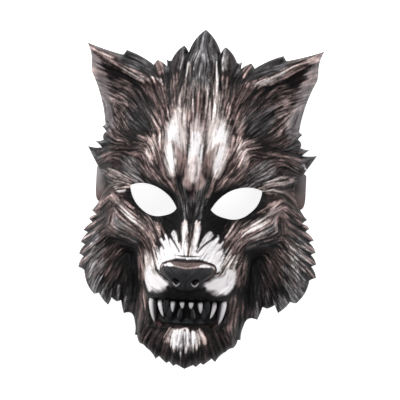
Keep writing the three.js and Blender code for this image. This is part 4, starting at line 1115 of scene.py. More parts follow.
# Marks of the nose pad, in the same columns as the face's.
NOSE_MARKS: tuple[Mark, ...] = made_of(Mark, (
    ("EARTH", ((23, -57.5), (24, -62.5), (19, -68)), (2.4, 3, 1.6), 3, 0.3, 0.1, 0.8),
    ("SLATE", ((0, -62), (8, -61.5), (17, -61)), (2.4, 2.4, 1.4), 4, 0.4, 0.2, 0.6),
    ("CLAY", ((0, -56.6), (9, -56), (19, -56)), (1.8, 1.5, 0.8), 1.2, 0.1, 0),
    ("BLACK", ((0, -54.6), (12, -53.8), (22, -56)), (0.5, 0.6, 0.5), 0.8, 0, 0),
    # Painted highlight across the top of the pad: a pale pink line, white patches and pale flecks
    # at its ends.
    ("BLUSH", ((0, -59.8), (5, -59), (12, -57.8)), (0.6, 0.6, 0.5), 0.9, 0.2, 0),
    ("WHITE", ((12, -57.8), (15.6, -57.2), (19.4, -57.8)), (0.7, 1.5, 0.7), 0.9, 0.2, 0),
    ("SAND", ((20.6, -57.4), (22.4, -58.4), (23.4, -60)), (0.4, 0.6, 0.3), 0.7, 0.1, 0),
    ("SOOT", ((25, -59), (24.6, -64), (18, -69.6)), (0.6, 0.7, 0.5), 1.2, 0.1, 0),
    ("SOOT", ((0, -80), (8, -78.6), (13.5, -73)), (2.4, 1.8, 1), 3, 0.2, 0),
    # Painted highlight on the lower rim of each nostril.
    ("MIST", ((5.4, -73), (8.2, -75.2), (11.2, -72)), (0.25, 0.45, 0.3), 0.5, 0, 0, 1, 0.5),
    ("BLACK", ((7.4, -71.9), (8.4, -71.4), (9.6, -70.8)), (2, 2.3, 2), 0.5, 0, 0, 1, -3),
    ("SOOT", ((0, -66), (0, -72), (0, -79)), (0.1, 0.3, 0.6), 1, 0, 0, 0.7, -0.6),
))


@dataclass(frozen=True)
class RimLocks:
    """Painted shadows in dark sunk gaps that run in from the notches of the outline, and painted
    highlights on paler raised ridges from its tips.
    """

    form: MouldForm
    gap_shadow_length: float = 17.0
    ridge_highlight_length: float = 15.0
    gap_shadow_width: float = 2.0
    ridge_highlight_width: float = 1.3
    depth: float = 1.0
    aim: Point = (35.0, 0.0)
    taper: tuple[float, ...] = (1.0, 0.9, 0.75, 0.55, 0.35, 0.1)
    swell: tuple[float, ...] = (0.35, 0.8, 1.0, 0.8, 0.5, 0.1)
    hues: tuple[tuple[str, Hue], ...] = (
        ("cr", Hue.STEEL), ("hook", Hue.STEEL), ("tuft", Hue.CLAY), ("ear_spike", Hue.SLATE),
        ("temple", Hue.SLATE), ("cheek", Hue.ROSE), ("jowl", Hue.STEEL), ("jaw", Hue.BARK),
        ("chin", Hue.BARK),
    )

    def draw(self, canvas: PrintCanvas) -> None:
        """Draws the painted shadows in the gaps and the painted highlights on the ridges of all
        locks that the hues name.

        Args:
            canvas: the print that they go on.
        """
        wide, high = self.form.half_width / 100, self.form.crown_height / 100
        # Painted shadow along each notch, sunk into the face; painted highlight along each tip,
        # raised.
        gap = Mark(Hue.BLACK, (), (), soft=1.2, fray=0.4, streak=0, cover=0.92, rise=-self.depth)
        gap_shadow_widths = self.gap_shadow_width * np.array(self.taper)
        ridge_highlight_widths = self.ridge_highlight_width * np.array(self.swell)
        for name, lock in zip(LOCKS, rows_of(LOCKS, LOCK_COLUMNS)):
            hue = next((hue for start, hue in self.hues if name.startswith(start)), None)
            if hue is None:
                continue
            ridge = Mark(hue, (), (), soft=1.4, fray=0.8, streak=0.2, cover=0.7, rise=self.depth)
            for side in (-1, 1):
                flip = np.array([side, 1])
                for mark, end, length, widths in ((gap, "notch", self.gap_shadow_length, gap_shadow_widths),
                                                  (ridge, "tip", self.ridge_highlight_length, ridge_highlight_widths)):
                    place = np.array([lock[f"{end}_x"] * wide, lock[f"{end}_y"] * high])
                    path = canvas.trail(place * flip, length, (self.aim - place) * flip)
                    canvas.lay(mark, path, widths)


def enclosed(mesh: bpy.types.Mesh) -> float:
    """Works out the volume that a mesh encloses.

    Args:
        mesh: the mesh.

    Returns:
        Cubic metres, negative where its faces look inward.
    """
    mesh.calc_loop_triangles()
    points = np.empty(len(mesh.vertices) * 3)
    mesh.vertices.foreach_get("co", points)
    corners = np.empty(len(mesh.loop_triangles) * 3, np.int32)
    mesh.loop_triangles.foreach_get("vertices", corners)
    a, b, c = points.reshape(-1, 3)[corners.reshape(-1, 3)].transpose(1, 0, 2)
    return float((a * np.cross(b, c)).sum()) / 6


def new_mesh(name: str, vertices: Grid, faces: Iterable[Sequence[int]],
             crease: float = 50.0) -> bpy.types.Object:
    """Makes a smooth-shaded mesh object.

    Args:
        name: the piece's name.
        vertices: rows of x, y, z, metres.
        faces: corner numbers of each face.
        crease: edges that bend more than this many degrees stay sharp.

    Returns:
        The object, linked to the scene.
    """
    mesh = bpy.data.meshes.new(name)
    mesh.from_pydata(np.asarray(vertices).tolist(), [], [list(map(int, face)) for face in faces])
    mesh.validate()
    if enclosed(mesh) < 0:
        mesh.flip_normals()
    mesh.shade_smooth()
    mesh.set_sharp_from_angle(angle=math.radians(crease))
    piece = bpy.data.objects.new(name, mesh)
    bpy.context.scene.collection.objects.link(piece)
    return piece


def closed_slab(top: Grid, bottom: Grid) -> tuple[Grid, list[Sequence[int]]]:
    """Joins two grids of points of one size into a closed body.

    Args:
        top: rows of rows of x, y, z of the upper side.
        bottom: the same of the lower side.

    Returns:
        Vertices and faces.
    """
    count = top.shape[0] * top.shape[1]
    number = np.arange(count).reshape(top.shape[:2])
    quads = np.stack([number[:-1, :-1], number[:-1, 1:], number[1:, 1:], number[1:, :-1]], -1)
    quads = quads.reshape(-1, 4)
    faces: list[Sequence[int]] = quads.tolist() + (quads + count)[:, ::-1].tolist()
    border = [*number[0, :-1], *number[:-1, -1], *number[-1, :0:-1], *number[:0:-1, 0]]
    for a, b in zip(border, border[1:] + border[:1]):
        faces.append((int(b), int(a), int(a) + count, int(b) + count))
    return np.vstack([top.reshape(-1, 3), bottom.reshape(-1, 3)]), faces


def paint(piece: bpy.types.Object, colours: Grid) -> None:
    """Gives each vertex of a piece its colour of the print.

    Args:
        piece: the piece.
        colours: a linear colour for each vertex.
    """
    attribute = piece.data.attributes.new("print", "FLOAT_COLOR", "POINT")
    packed = np.ones((len(piece.data.vertices), 4), np.float32)
    packed[:, :3] = colours
    attribute.data.foreach_set("color", packed.ravel())


def add_node(tree: bpy.types.NodeTree, kind: str, settings: dict[str, Any] | None = None,
             links: dict[str, Any] | None = None, **options: Any) -> bpy.types.Node:
    """Adds a node with its settings and links.

    Args:
        tree: the tree that it goes into.
        kind: the node's type.
        settings: values of its input sockets, by name or number.
        links: output sockets to join to its inputs, by the input's name or number.
        options: properties of the node itself.

    Returns:
        The node.
    """
    node = tree.nodes.new(kind)
    for name, value in options.items():
        setattr(node, name, value)
    for name, value in (settings or {}).items():
        node.inputs[name].default_value = value
    for name, socket in (links or {}).items():
        tree.links.new(socket, node.inputs[name])
    return node


def new_material(name: str, looks: dict[str, Any]) -> tuple[bpy.types.Material, bpy.types.Node]:
    """Makes a material and sets its shader's own sockets.

    Args:
        name: what the real material is and how it was made.
        looks: values of the shader's sockets, by name.

    Returns:
        The material and its shader.
    """
    made = bpy.data.materials.new(name)
    made.use_nodes = True
    shader = made.node_tree.nodes["Principled BSDF"]
    for socket, value in looks.items():
        shader.inputs[socket].default_value = value
    return made, shader


@dataclass(frozen=True)
class PrintedFoam:
    """Moulded EVA foam with a printed skin: satin, so broad soft lights run along its relief.

    Its gloss lies under the usual 0.5, because matte ink soaks into the foam. The grain is the
    foam's cells, which show as a faint unevenness of the skin.
    """

    name: str = "moulded_eva_foam_printed"
    roughness: float = 0.5
    ior: float = 1.46
    gloss: float = 0.14
    grain_mm: float = 0.9
    grain_detail: float = 3.0
    bump_mm: float = 0.12
    bump_strength: float = 0.5

    def material(self) -> bpy.types.Material:
        """Builds the material.

        Returns:
            The material.
        """
        made, shader = new_material(self.name, {
            "IOR": self.ior, "Specular IOR Level": self.gloss, "Roughness": self.roughness})
        tree = made.node_tree
        colour = add_node(tree, "ShaderNodeAttribute", attribute_name="print")
        place = add_node(tree, "ShaderNodeTexCoord")
        grain = add_node(tree, "ShaderNodeTexNoise",
                         {"Scale": 1 / (self.grain_mm * MM), "Detail": self.grain_detail},
                         {"Vector": place.outputs["Object"]})
        bump = add_node(tree, "ShaderNodeBump",
                        {"Strength": self.bump_strength, "Distance": self.bump_mm * MM},
                        {"Height": grain.outputs["Fac"]})
        tree.links.new(colour.outputs["Color"], shader.inputs["Base Color"])
        tree.links.new(bump.outputs["Normal"], shader.inputs["Normal"])
        return made


@dataclass(frozen=True)
class WovenElastic:
    """Woven elastic of polyester over rubber: dull, with ribs along it and picks across.

    The picks are drawn about twice as coarse as real ones, so that they show.
    """

    colour: int = 0x1d1d20
    roughness: float = 0.85
    sheen: float = 0.25
    pick_mm: float = 0.9
    waver: float = 0.4
    bump_mm: float = 0.15
    bump_strength: float = 0.8

    def material(self) -> bpy.types.Material:
        """Builds the material.

        Returns:
            The material.
        """
        made, shader = new_material("woven_elastic_polyester", {
            "Base Color": (*linear(self.colour), 1), "Roughness": self.roughness,
            "Sheen Weight": self.sheen})
        tree = made.node_tree
        place = add_node(tree, "ShaderNodeTexCoord")
        picks = add_node(tree, "ShaderNodeTexWave",
                         {"Scale": 1 / (self.pick_mm * MM) / math.tau, "Distortion": self.waver},
                         {"Vector": place.outputs["Object"]},
                         wave_type="BANDS", bands_direction="X")
        bump = add_node(tree, "ShaderNodeBump",
                        {"Strength": self.bump_strength, "Distance": self.bump_mm * MM},
                        {"Height": picks.outputs["Fac"]})
        tree.links.new(bump.outputs["Normal"], shader.inputs["Normal"])
        return made


@dataclass(frozen=True)
class SewingThread:
    """Spun polyester thread: matte, a little lighter than the strap, so the stitches show."""

    colour: int = 0x3a3a3e
    roughness: float = 0.7

    def material(self) -> bpy.types.Material:
        """Builds the material."""
        looks = {"Base Color": (*linear(self.colour), 1), "Roughness": self.roughness}
        return new_material("spun_polyester_thread", looks)[0]


@dataclass
class FaceShell:
    """The moulded face: a fine printed front, a plain back, its rim and its eye holes."""

    form: MouldForm
    canvas: PrintCanvas
    front_pitch: float = 0.79
    back_pitch: float = 2.6
    # Share of the spacing from the middle line to the first column of points, and share of the
    # outline's step that stays clear of points inside.
    axis_gap: float = 0.6
    border_gap: float = 0.55
    lining: int = 0x2b292a
    # Painted shade along the outline: how much the print darkens there, and how far in it reaches,
    # mm.
    edge_shade: float = 0.45
    edge_width: float = 1.3
    relief_fade: float = 2.5

    def _spread(self, pitch: float) -> tuple[Grid, Grid, int, int]:
        """Covers one half of the face with triangles.

        Args:
            pitch: spacing of the points inside, mm.

        Returns:
            Points, triangles, and how many of the first points lie on the outline and on the eye.
        """
        outline, eye = self.form.outline[:, :2], self.form.eye
        rise = np.arange(outline[-1, 1] + pitch, outline[0, 1] - pitch / 2, pitch)
        axis = np.stack([np.zeros(len(rise)), rise], axis=-1)
        step = pitch * math.sqrt(3) / 2
        rows = np.arange(outline[-1, 1], outline[0, 1], step)
        columns = np.arange(pitch * self.axis_gap, outline[:, 0].max(), pitch)
        x, y = np.meshgrid(columns, rows)
        x = x + (np.arange(len(rows)) % 2)[:, None] * pitch / 2
        inner = np.stack([x.ravel(), y.ravel()], axis=-1)
        ring = np.vstack([outline, axis])
        inner = inner[self._within(inner, ring) & ~self._within(inner, eye)]
        clear = np.full(len(inner), np.inf)
        for point in np.vstack([outline, eye]):
            clear = np.minimum(clear, (inner[:, 0] - point[0]) ** 2 + (inner[:, 1] - point[1]) ** 2)
        inner = inner[clear > (self.border_gap * self.form.outline_step) ** 2]
        points = np.vstack([outline, eye, axis, inner])
        n, m = len(outline), len(eye)
        edges = [(i, i + 1) for i in range(n - 1)]
        edges += [(n + i, n + (i + 1) % m) for i in range(m)]
        chain = [n - 1, *range(n + m, n + m + len(axis)), 0]
        edges += list(zip(chain[:-1], chain[1:]))
        made = geometry.delaunay_2d_cdt([Vector(p) for p in points], edges, [], 0, SAME_PLACE)
        placed = np.array([tuple(v) for v in made[0]])
        triangles = np.array([face for face in made[2] if len(face) == 3])
        middle = placed[triangles].mean(1)
        keep = self._within(middle, ring) & ~self._within(middle, eye)
        order = np.full(len(placed), -1)
        for new, olds in enumerate(made[3]):
            order[new] = min(olds) if olds else -1
        back = np.argsort(order)
        rank = np.empty(len(back), int)
        rank[back] = np.arange(len(back))
        return placed[back], rank[triangles[keep]], n, m

    @staticmethod
    def _within(points: Grid, ring: Grid) -> Grid:
        """Tells which points lie inside a closed ring.

        Args:
            points: rows of x and y.
            ring: rows of x and y round it.

        Returns:
            True for each point inside.
        """
        inside = np.zeros(len(points), bool)
        for a, b in zip(ring, np.roll(ring, -1, axis=0)):
            if a[1] == b[1]:
                continue
            crosses = (a[1] > points[:, 1]) != (b[1] > points[:, 1])
            at = a[0] + (points[:, 1] - a[1]) * (b[0] - a[0]) / (b[1] - a[1])
            inside ^= crosses & (points[:, 0] < at)
        return inside

    def build(self) -> bpy.types.Object:
        """Builds the shell as one closed mesh: a half, and its mirror image with its own print.

        Returns:
            The piece.
        """
        front, tris_f, n, m = self._spread(self.front_pitch)
        back, tris_b, _, _ = self._spread(self.back_pitch)
        half = np.vstack([front, back])
        corners = np.vstack([tris_f, tris_b[:, ::-1] + len(front), self._walls(len(front), n, m)])
        gap, _, _ = self.form.nearest_edge(front[:, 0], front[:, 1])
        # Painted shade: the print darkens towards the outline.
        edge = 1 - self.edge_shade * (1 - smooth(gap / self.edge_width))[:, None]
        lifts = [self._lift(front, side, gap) for side in (1, -1)]
        shared = np.abs(half[:, 0]) < SAME_PLACE
        middle = shared[:len(front)]
        lifts[0][middle] = (lifts[0][middle] + lifts[1][middle]) / 2
        behind = self.form.back_height(back[:, 0], back[:, 1])
        face = self.form.front_height(front[:, 0], front[:, 1])
        lining = np.tile(linear(self.lining), (len(back), 1))
        points, colours = [], []
        for side, lift, kept in zip((1, -1), lifts, (slice(None), ~shared)):
            print_at = self.canvas.read(self.canvas.colour, front[:, 0] * side, front[:, 1])
            height = np.concatenate([face + lift, behind])
            points.append(np.column_stack([half * (side, 1), height])[kept])
            colours.append(np.vstack([print_at * edge, lining])[kept])
        partner = np.where(shared, np.arange(len(half)), len(half) + np.cumsum(~shared) - 1)
        corners = np.vstack([corners, partner[corners][:, ::-1]])
        placed = np.vstack(points) - (0, self.form.middle, 0)
        piece = new_mesh("face_shell_fine", placed * MM, corners, crease=60)
        paint(piece, np.vstack(colours))
        LOG.info("%s: %d triangles", piece.name, len(corners))
        return piece

    def _lift(self, flat: Grid, side: int, gap: Grid) -> Grid:
        """Relief of one half, which fades out at the outline."""
        relief = self.canvas.read(self.canvas.relief, flat[:, 0] * side, flat[:, 1])
        return relief * smooth(gap / self.relief_fade)

    @staticmethod
    def _walls(offset: int, n: int, m: int) -> Grid:
        """Triangles between the front's border and the back's.

        Args:
            offset: number of the back's first point.
            n: how many of the first points of each side lie on the outline.
            m: how many after them lie on the eye hole.

        Returns:
            Rows of corners.
        """
        rows = []
        for a in range(n - 1):
            rows += [(a, a + 1, offset + a + 1), (a, offset + a + 1, offset + a)]
        for i in range(m):
            a, b = n + i, n + (i + 1) % m
            rows += [(a, offset + b, b), (a, offset + a, offset + b)]
        return np.array(rows)


@dataclass
class NosePad:
    """The nose pad: a rounded slab on the muzzle, wide above, with nostrils and a groove."""

    form: MouldForm
    top: float = -53.6
    height: float = 26.6
    half_width: float = 25.2
    rise: float = 6.0
    round_off: float = 5.5
    # How far the pad's top and bottom lie under the face before the pad rises from it.
    seat: float = 0.5
    sink: float = 1.6
    relief_fade: float = 1.2
    pitch: float = 0.5
    print_low: Point = (-28, -84)
    print_high: Point = (28, -50)

    def _half_at(self, down: Grid) -> Grid:
        """Half the width at shares of the height."""
        rows = np.array(NOSE_OUTLINE)
        return self.half_width * curve_through(rows[:, 0], rows[:, [1]], down)

    def build(self) -> bpy.types.Object:
        """Builds and paints the pad.

        Returns:
            The piece.
        """
        canvas = PrintCanvas(self.print_low, self.print_high, Hue.GRAPHITE, pitch=0.3)
        for mark in NOSE_MARKS:
            canvas.stroke(mark)
        canvas.finish(contrast=0.12, grain=0.03)
        down = smooth(np.linspace(0, 1, int(self.height / self.pitch)))
        turn = np.linspace(-math.pi / 2, math.pi / 2, int(2 * self.half_width / self.pitch))
        over = np.sin(turn)
        half = self._half_at(down)
        x = over[None, :] * half[:, None]
        y = np.repeat((self.top - self.height * down)[:, None], len(over), axis=1)
        ring = np.vstack([np.stack([half, y[:, 0]], -1), np.stack([-half, y[:, 0]], -1)[::-1]])
        gap = np.full(x.shape, np.inf)
        for a, b in zip(ring, np.roll(ring, -1, axis=0)):
            gap = np.minimum(gap, nearest_on_run(x, y, a, b)[1])
        lift = self.rise * np.sqrt(1 - (1 - np.minimum(gap / self.round_off, 1)) ** 2)
        flat_x, flat_y = x.ravel(), y.ravel()
        face = self.form.face_height(flat_x, flat_y).reshape(x.shape)
        relief = canvas.read(canvas.relief, flat_x, flat_y).reshape(x.shape)
        relief = relief * smooth(gap / self.relief_fade)
        shift = self.form.middle
        top = np.stack([x, y - shift, face - self.seat + lift + relief], -1)
        bottom = np.stack([x, y - shift, face - self.sink], -1)
        vertices, faces = closed_slab(top, bottom)
        piece = new_mesh("nose_pad", vertices * MM, faces, crease=70)
        colours = canvas.read(canvas.colour, flat_x, flat_y)
        paint(piece, np.vstack([colours, colours]))
        return piece


@dataclass
class Teeth:
    """The teeth of both jaws, moulded with the face and printed white and grey, with a painted
    highlight on each tooth's outer front and painted shade on its inner side.
    """

    form: MouldForm
    bed: float = 9.0
    sides: int = 14
    rings: int = 10
    flatness: float = 0.85
    proud: float = 1.0
    # How high root and tip stand over the bed, as shares of the width.
    stands: Point = (1 / 3, 1 / 2)
    # Shape along a tooth: how late it tapers, its waist at the root and up to where, and its point.
    taper: float = 1.7
    waist: float = 0.75
    waist_end: float = 0.25
    point: float = 0.04
    # White of a tooth: how much its painted highlight leans across and outward, away from the
    # middle and to the front, leaving painted shade on the side towards the middle; how it follows
    # the table's share, its contrast, and how it fades at the root and towards the tip.
    highlight_lean: Point = (0.8, 0.5)
    white_gain: float = 2.2
    white_from: float = 1.1
    contrast: float = 1.4
    white_base: float = 0.3
    root_fade: float = 0.2
    tip_fade: float = 0.35
    tip_white: float = 0.6

    def build(self) -> bpy.types.Object:
        """Builds and paints all teeth as one piece.

        Returns:
            The piece.
        """
        vertices: list[Grid] = []
        colours: list[Grid] = []
        faces: list[list[int]] = []
        for tooth in rows_of(TEETH, TOOTH_COLUMNS):
            for side in (-1, 1):
                start = sum(map(len, vertices))
                body, shades, corners = self._tooth(tooth, side)
                vertices.append(body)
                colours.append(shades)
                faces += [[corner + start for corner in face][::side] for face in corners]
        points = np.vstack(vertices) - (0, self.form.middle, 0)
        piece = new_mesh("teeth", points * MM, faces, crease=70)
        paint(piece, np.vstack(colours))
        return piece

    def _tooth(self, tooth: dict[str, float], side: int) -> tuple[Grid, Grid, list[list[int]]]:
        """Builds one tooth.

        Args:
            tooth: its row of the table.
            side: 1 for the viewer's right half, -1 for the left.

        Returns:
            Its points, their colours and its faces, as seen on the right half.
        """
        wide, high = self.form.half_width / 100, self.form.crown_height / 100
        width = tooth["width"] * wide
        ends = np.array([[tooth[f"{end}_x"] * wide, tooth[f"{end}_y"] * high]
                         for end in ("root", "tip")])
        beds = self.form.bare_height(ends[:, 0], ends[:, 1]) - self.bed * self.form.depth / 100
        heights = beds + width * np.array(self.stands) + self.proud
        root, tip = np.column_stack([ends, heights])
        way = (tip - root) / np.linalg.norm(tip - root)
        across = np.cross(way, (0, 0, 1.0))
        across /= np.linalg.norm(across)
        across *= np.sign(across[0])
        out = np.cross(across, way)
        out *= np.sign(out[2])
        length = np.linalg.norm(tip - root)
        t = np.linspace(0, 1, self.rings)
        waist = self.waist + (1 - self.waist) * smooth(t / self.waist_end)
        radius = width / 2 * np.sqrt(np.clip(1 - t**self.taper, 0, 1)) * waist
        radius[-1] = self.point * width
        bow = tooth["bend"] * length * 4 * t * (1 - t)
        line = root + np.outer(t, tip - root) + np.outer(bow, across)
        angle = np.arange(self.sides) / self.sides * math.tau
        rim = np.outer(np.cos(angle), across) + self.flatness * np.outer(np.sin(angle), out)
        body = (line[:, None, :] + radius[:, None, None] * rim[None]).reshape(-1, 3)
        body = np.vstack([body, line[:1], line[-1:]])
        # Painted highlight and shade: whiter where the tooth turns outward and to the front, darker
        # where it turns towards the middle.
        facing = np.cos(angle) * self.highlight_lean[0] + np.sin(angle) * self.highlight_lean[1]
        facing = facing + self.white_gain * tooth["white"] - self.white_from
        light = smooth(facing * self.contrast + self.white_base)
        fade = smooth(t / self.root_fade)[:, None] * (1 - self.tip_fade * t[:, None])
        share = (light[None] * fade).reshape(-1, 1)
        dark, white = np.array(linear(Hue.GRAPHITE.value)), np.array(linear(Hue.WHITE.value))
        shades = np.vstack([dark + share * (white - dark), dark, self.tip_white * white])
        corners = tube_quads(self.rings, self.sides)
        last = self.rings * self.sides
        for k in range(self.sides):
            n = (k + 1) % self.sides
            corners.append([last, k, n])
            corners.append([last + 1, last - self.sides + n, last - self.sides + k])
        body[:, 0] *= side
        return body, shades, corners


@dataclass
class StrapTab:
    """A smooth flap that hangs from the rim at the temple and takes the strap."""

    form: MouldForm
    side: int
    reach: float = 10.5
    round_off: float = 1.1
    clearance: float = 0.3
    steps: int = 44
    turns: int = 7
    # How far the rows crowd towards the ends, how thin the ends are, and the least reach of a row.
    crowding: float = 0.85
    end_share: float = 0.25
    least_reach: float = 0.05
    # Largest corner radius as a share of half the thickness.
    corner_share: float = 0.8
    # Places across the tab where the rim above it is measured.
    probes: int = 5
    # Height from which the rim's painted shadow darkens the tab, how dark it gets, and how pale the
    # crown's end is.
    shade_from: float = 0.72
    shade: float = 0.85
    pale_share: float = 0.8

    def _rows(self, low: Vector, high: Vector) -> tuple[Grid, Grid]:
        """Lays out the rows along the tab.

        Args:
            low: lowest corner of its solid, m.
            high: highest corner, m.

        Returns:
            Place of each row along the tab, and how thick the tab is there, as shares.
        """
        q = np.linspace(0, 1, self.steps)
        along = q - np.sin(math.tau * q) / math.tau * self.crowding
        from_end = np.minimum(along, 1 - along) * (high.y - low.y) / MM
        round_end = np.sqrt(1 - (1 - np.minimum(from_end / self.round_off, 1)) ** 2)
        return along, self.end_share + (1 - self.end_share) * round_end

    def build(self) -> bpy.types.Object:
        """Builds the tab inside its solid, with its edges rounded off, and paints it.

        Returns:
            The piece.
        """
        name = "strap_tab_left" if self.side < 0 else "strap_tab_right"
        low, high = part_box(name)
        inner = min(abs(low.x), abs(high.x)) / MM
        outer = max(abs(low.x), abs(high.x)) / MM
        tall = high.z / MM
        width = outer - inner - self.reach
        along, thick = self._rows(low, high)
        edge = np.array(TAB_EDGE)
        reach = curve_through(edge[:, 0], edge[:, [1]], along)
        rows = []
        across = np.linspace(inner, inner + width, self.probes)
        for place, share, depth in zip(along, thick, np.clip(reach, self.least_reach, 1)):
            y = (low.y + (high.y - low.y) * place) / MM
            rim = self.form.back_height(across, np.full(self.probes, y + self.form.middle)).min()
            top = np.array([inner, min(rim - self.clearance, tall)])
            top[0] += self.reach * (1 - top[1] / tall)
            foot = top + (np.array([inner + self.reach, 0]) - top) * depth
            rows.append(self._section(top, foot, width, share, y))
        sections = np.array(rows)
        body = sections.reshape(-1, 3)
        count = sections.shape[1]
        faces = [[a, b, over_b, over_a] for a, over_a, over_b, b in tube_quads(self.steps, count)]
        faces.append(list(range(count))[::-1])
        faces.append([(self.steps - 1) * count + k for k in range(count)])
        body[:, 0] *= self.side
        turned = [face[:: self.side] for face in faces]
        piece = new_mesh(f"{name}_moulded", body * MM, turned, crease=60)
        self._colour(piece, body, tall)
        return piece

    def _section(self, top: Grid, foot: Grid, width: float, share: float, y: float) -> Grid:
        """Works out one section, with its lower corners rounded off.

        Args:
            top: across and up of its top, mm.
            foot: the same of its foot.
            width: its full thickness, mm.
            share: share of the thickness here.
            y: its place along the tab, mm.

        Returns:
            Points round it, from its top.
        """
        half = width / 2 * share
        middle = np.array([top + (width / 2, 0), foot + (width / 2, 0)])
        radius = min(self.round_off, self.corner_share * half)
        points = [middle[0] + (half, 0), middle[0] - (half, 0)]
        for turn, way in ((math.pi, -1), (1.5 * math.pi, 1)):
            centre = middle[1] + (way * (half - radius), radius)
            for step in range(self.turns):
                angle = turn + step / (self.turns - 1) * math.pi / 2
                points.append(centre + radius * np.array([math.cos(angle), math.sin(angle)]))
        return np.array([(point[0], y, max(point[1], 0.0)) for point in points])

    def _colour(self, piece: bpy.types.Object, body: Grid, tall: float) -> None:
        """Colours the tab: pale towards the crown, brown below, and dark at the rim with a painted
        shadow of the rim.

        Args:
            piece: the tab.
            body: its points, mm.
            tall: its height, mm.
        """
        upper = body[:, 1] - body[:, 1].min()
        upper = smooth(upper / upper.max())[:, None]
        # Painted shadow of the rim: darker towards the top of the tab, under the rim.
        rim_shadow = smooth((body[:, 2] / tall - self.shade_from) / (1 - self.shade_from))[:, None]
        pale = np.array(linear((Hue.MIST if self.side < 0 else Hue.ASH).value))
        base = np.array(linear(Hue.CLAY.value)) * (1 - upper) + pale * upper * self.pale_share
        paint(piece, base * (1 - self.shade * rim_shadow))


@dataclass
class ElasticStrap:
    """The flat elastic that is sewn to both tabs and lies slack behind the mask."""

    tab_reach: float = 10.5
    thickness: float = 1.2
    hold: float = 6.0
    fold: float = 1.1
    clearance: float = 0.3
    rib_mm: float = 1.0
    rib_depth: float = 0.13
    fold_steps: int = 10
    run_steps: int = 40
    rib_steps: int = 61
    # Stitches: their size, the cloth left beside a row, the space for each as a share of its
    # length, the rows' places along the strap, and how deep they lie in it.
    stitch_length: float = 1.9
    stitch_radius: float = 0.22
    stitch_margin: float = 1.4
    stitch_space: float = 1.25
    stitch_rows: Point = (1.2, 4.4)
    stitch_sink: float = 0.06
    stitch_rings: int = 7
    stitch_sides: int = 8
    stitch_round: float = 1.02

    def _path(self) -> Grid:
        """Works out the strap's middle line.

        Returns:
            Points of x and z from the right end to the left, mm.
        """
        low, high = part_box("strap_tab_right")
        top = np.array([low.x, high.z]) / MM
        foot = np.array([low.x / MM + self.tab_reach, 0])
        slope = (foot - top) / np.linalg.norm(foot - top)
        inward = np.array([slope[1], -slope[0]])
        lie = self.clearance + self.thickness / 2
        line = foot + inward * lie
        meet = line + slope * (lie - line[1]) / slope[1]
        turn = math.acos(slope[0])
        back = self.fold / math.tan(turn / 2)
        middle = np.array([meet[0] - back, lie + self.fold])
        points = [meet - slope * (back + self.hold), meet - slope * (back + self.hold / 2)]
        for step in range(self.fold_steps + 1):
            angle = -math.pi / 2 + (math.pi - turn) * (1 - step / self.fold_steps)
            points.append(middle + self.fold * np.array([math.cos(angle), math.sin(angle)]))
        half = np.array(points)
        flat = np.linspace(half[-1, 0], -half[-1, 0], self.run_steps)[1:-1]
        run = np.stack([flat, np.full(len(flat), half[-1, 1])], -1)
        return np.vstack([half, run, half[::-1] * (-1, 1)])

    def build(self) -> bpy.types.Object:
        """Builds the ribbed ribbon along its path.

        Returns:
            The piece.
        """
        low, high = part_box("elastic_strap")
        path = self._path()
        way = np.gradient(path, axis=0)
        way /= np.linalg.norm(way, axis=1)[:, None]
        normal = np.stack([-way[:, 1], way[:, 0]], -1)
        across = np.linspace(low.y, high.y, self.rib_steps) / MM
        wave = 0.5 + 0.5 * np.cos(math.tau * (across - across[0]) / self.rib_mm)
        ribs = self.thickness / 2 - self.rib_depth * wave
        sides = []
        for sign in (1, -1):
            x = path[:, None, 0] + sign * normal[:, None, 0] * ribs[None]
            z = path[:, None, 1] + sign * normal[:, None, 1] * ribs[None]
            sides.append(np.stack([x, np.broadcast_to(across, x.shape), z], -1))
        vertices, faces = closed_slab(*sides)
        return new_mesh("elastic_strap_woven", vertices * MM, faces, crease=70)

    def stitches(self) -> bpy.types.Object:
        """Sews rows of stitches through each end of the strap.

        Returns:
            The piece.
        """
        low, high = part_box("elastic_strap")
        path = self._path()
        start, end = path[0], path[1]
        along = (end - start) / np.linalg.norm(end - start)
        out = np.array([-along[1], along[0]])
        out *= np.sign(out[1])
        centre_y = (low.y + high.y) / 2 / MM
        vertices: list[Grid] = []
        faces: list[list[int]] = []
        half = (high.y - low.y) / MM / 2 - self.stitch_margin
        count = int(2 * half / self.stitch_length / self.stitch_space)
        lie = self.thickness / 2 - self.stitch_sink
        for side, face_of, row, k in product((1, -1), (1, -1), self.stitch_rows, range(count)):
            y = centre_y - half + (k + 0.5) * 2 * half / count
            place = start + along * row + out * face_of * lie
            self._stitch(vertices, faces, np.array([side * place[0], y, place[1]]))
        return new_mesh("strap_stitches", np.vstack(vertices) * MM, faces, crease=80)

    def _stitch(self, vertices: list[Grid], faces: list[list[int]], place: Grid) -> None:
        """Adds one stitch along Y: a thread that dips at both ends.

        Args:
            vertices: points so far, added to.
            faces: faces so far, added to.
            place: middle of the stitch, mm.
        """
        base, rings, sides = sum(map(len, vertices)), self.stitch_rings, self.stitch_sides
        t = np.linspace(-1, 1, rings)
        radius = self.stitch_radius * np.sqrt(self.stitch_round - t**2)
        angle = np.arange(sides) / sides * math.tau
        for q, r in zip(t, radius):
            along = np.full(sides, q * self.stitch_length / 2)
            vertices.append(place + np.stack([r * np.cos(angle), along, r * np.sin(angle)], -1))
        faces += tube_quads(rings, sides, base)
        faces.append([base + k for k in range(sides)])
        faces.append([base + (rings - 1) * sides + k for k in range(sides)][::-1])


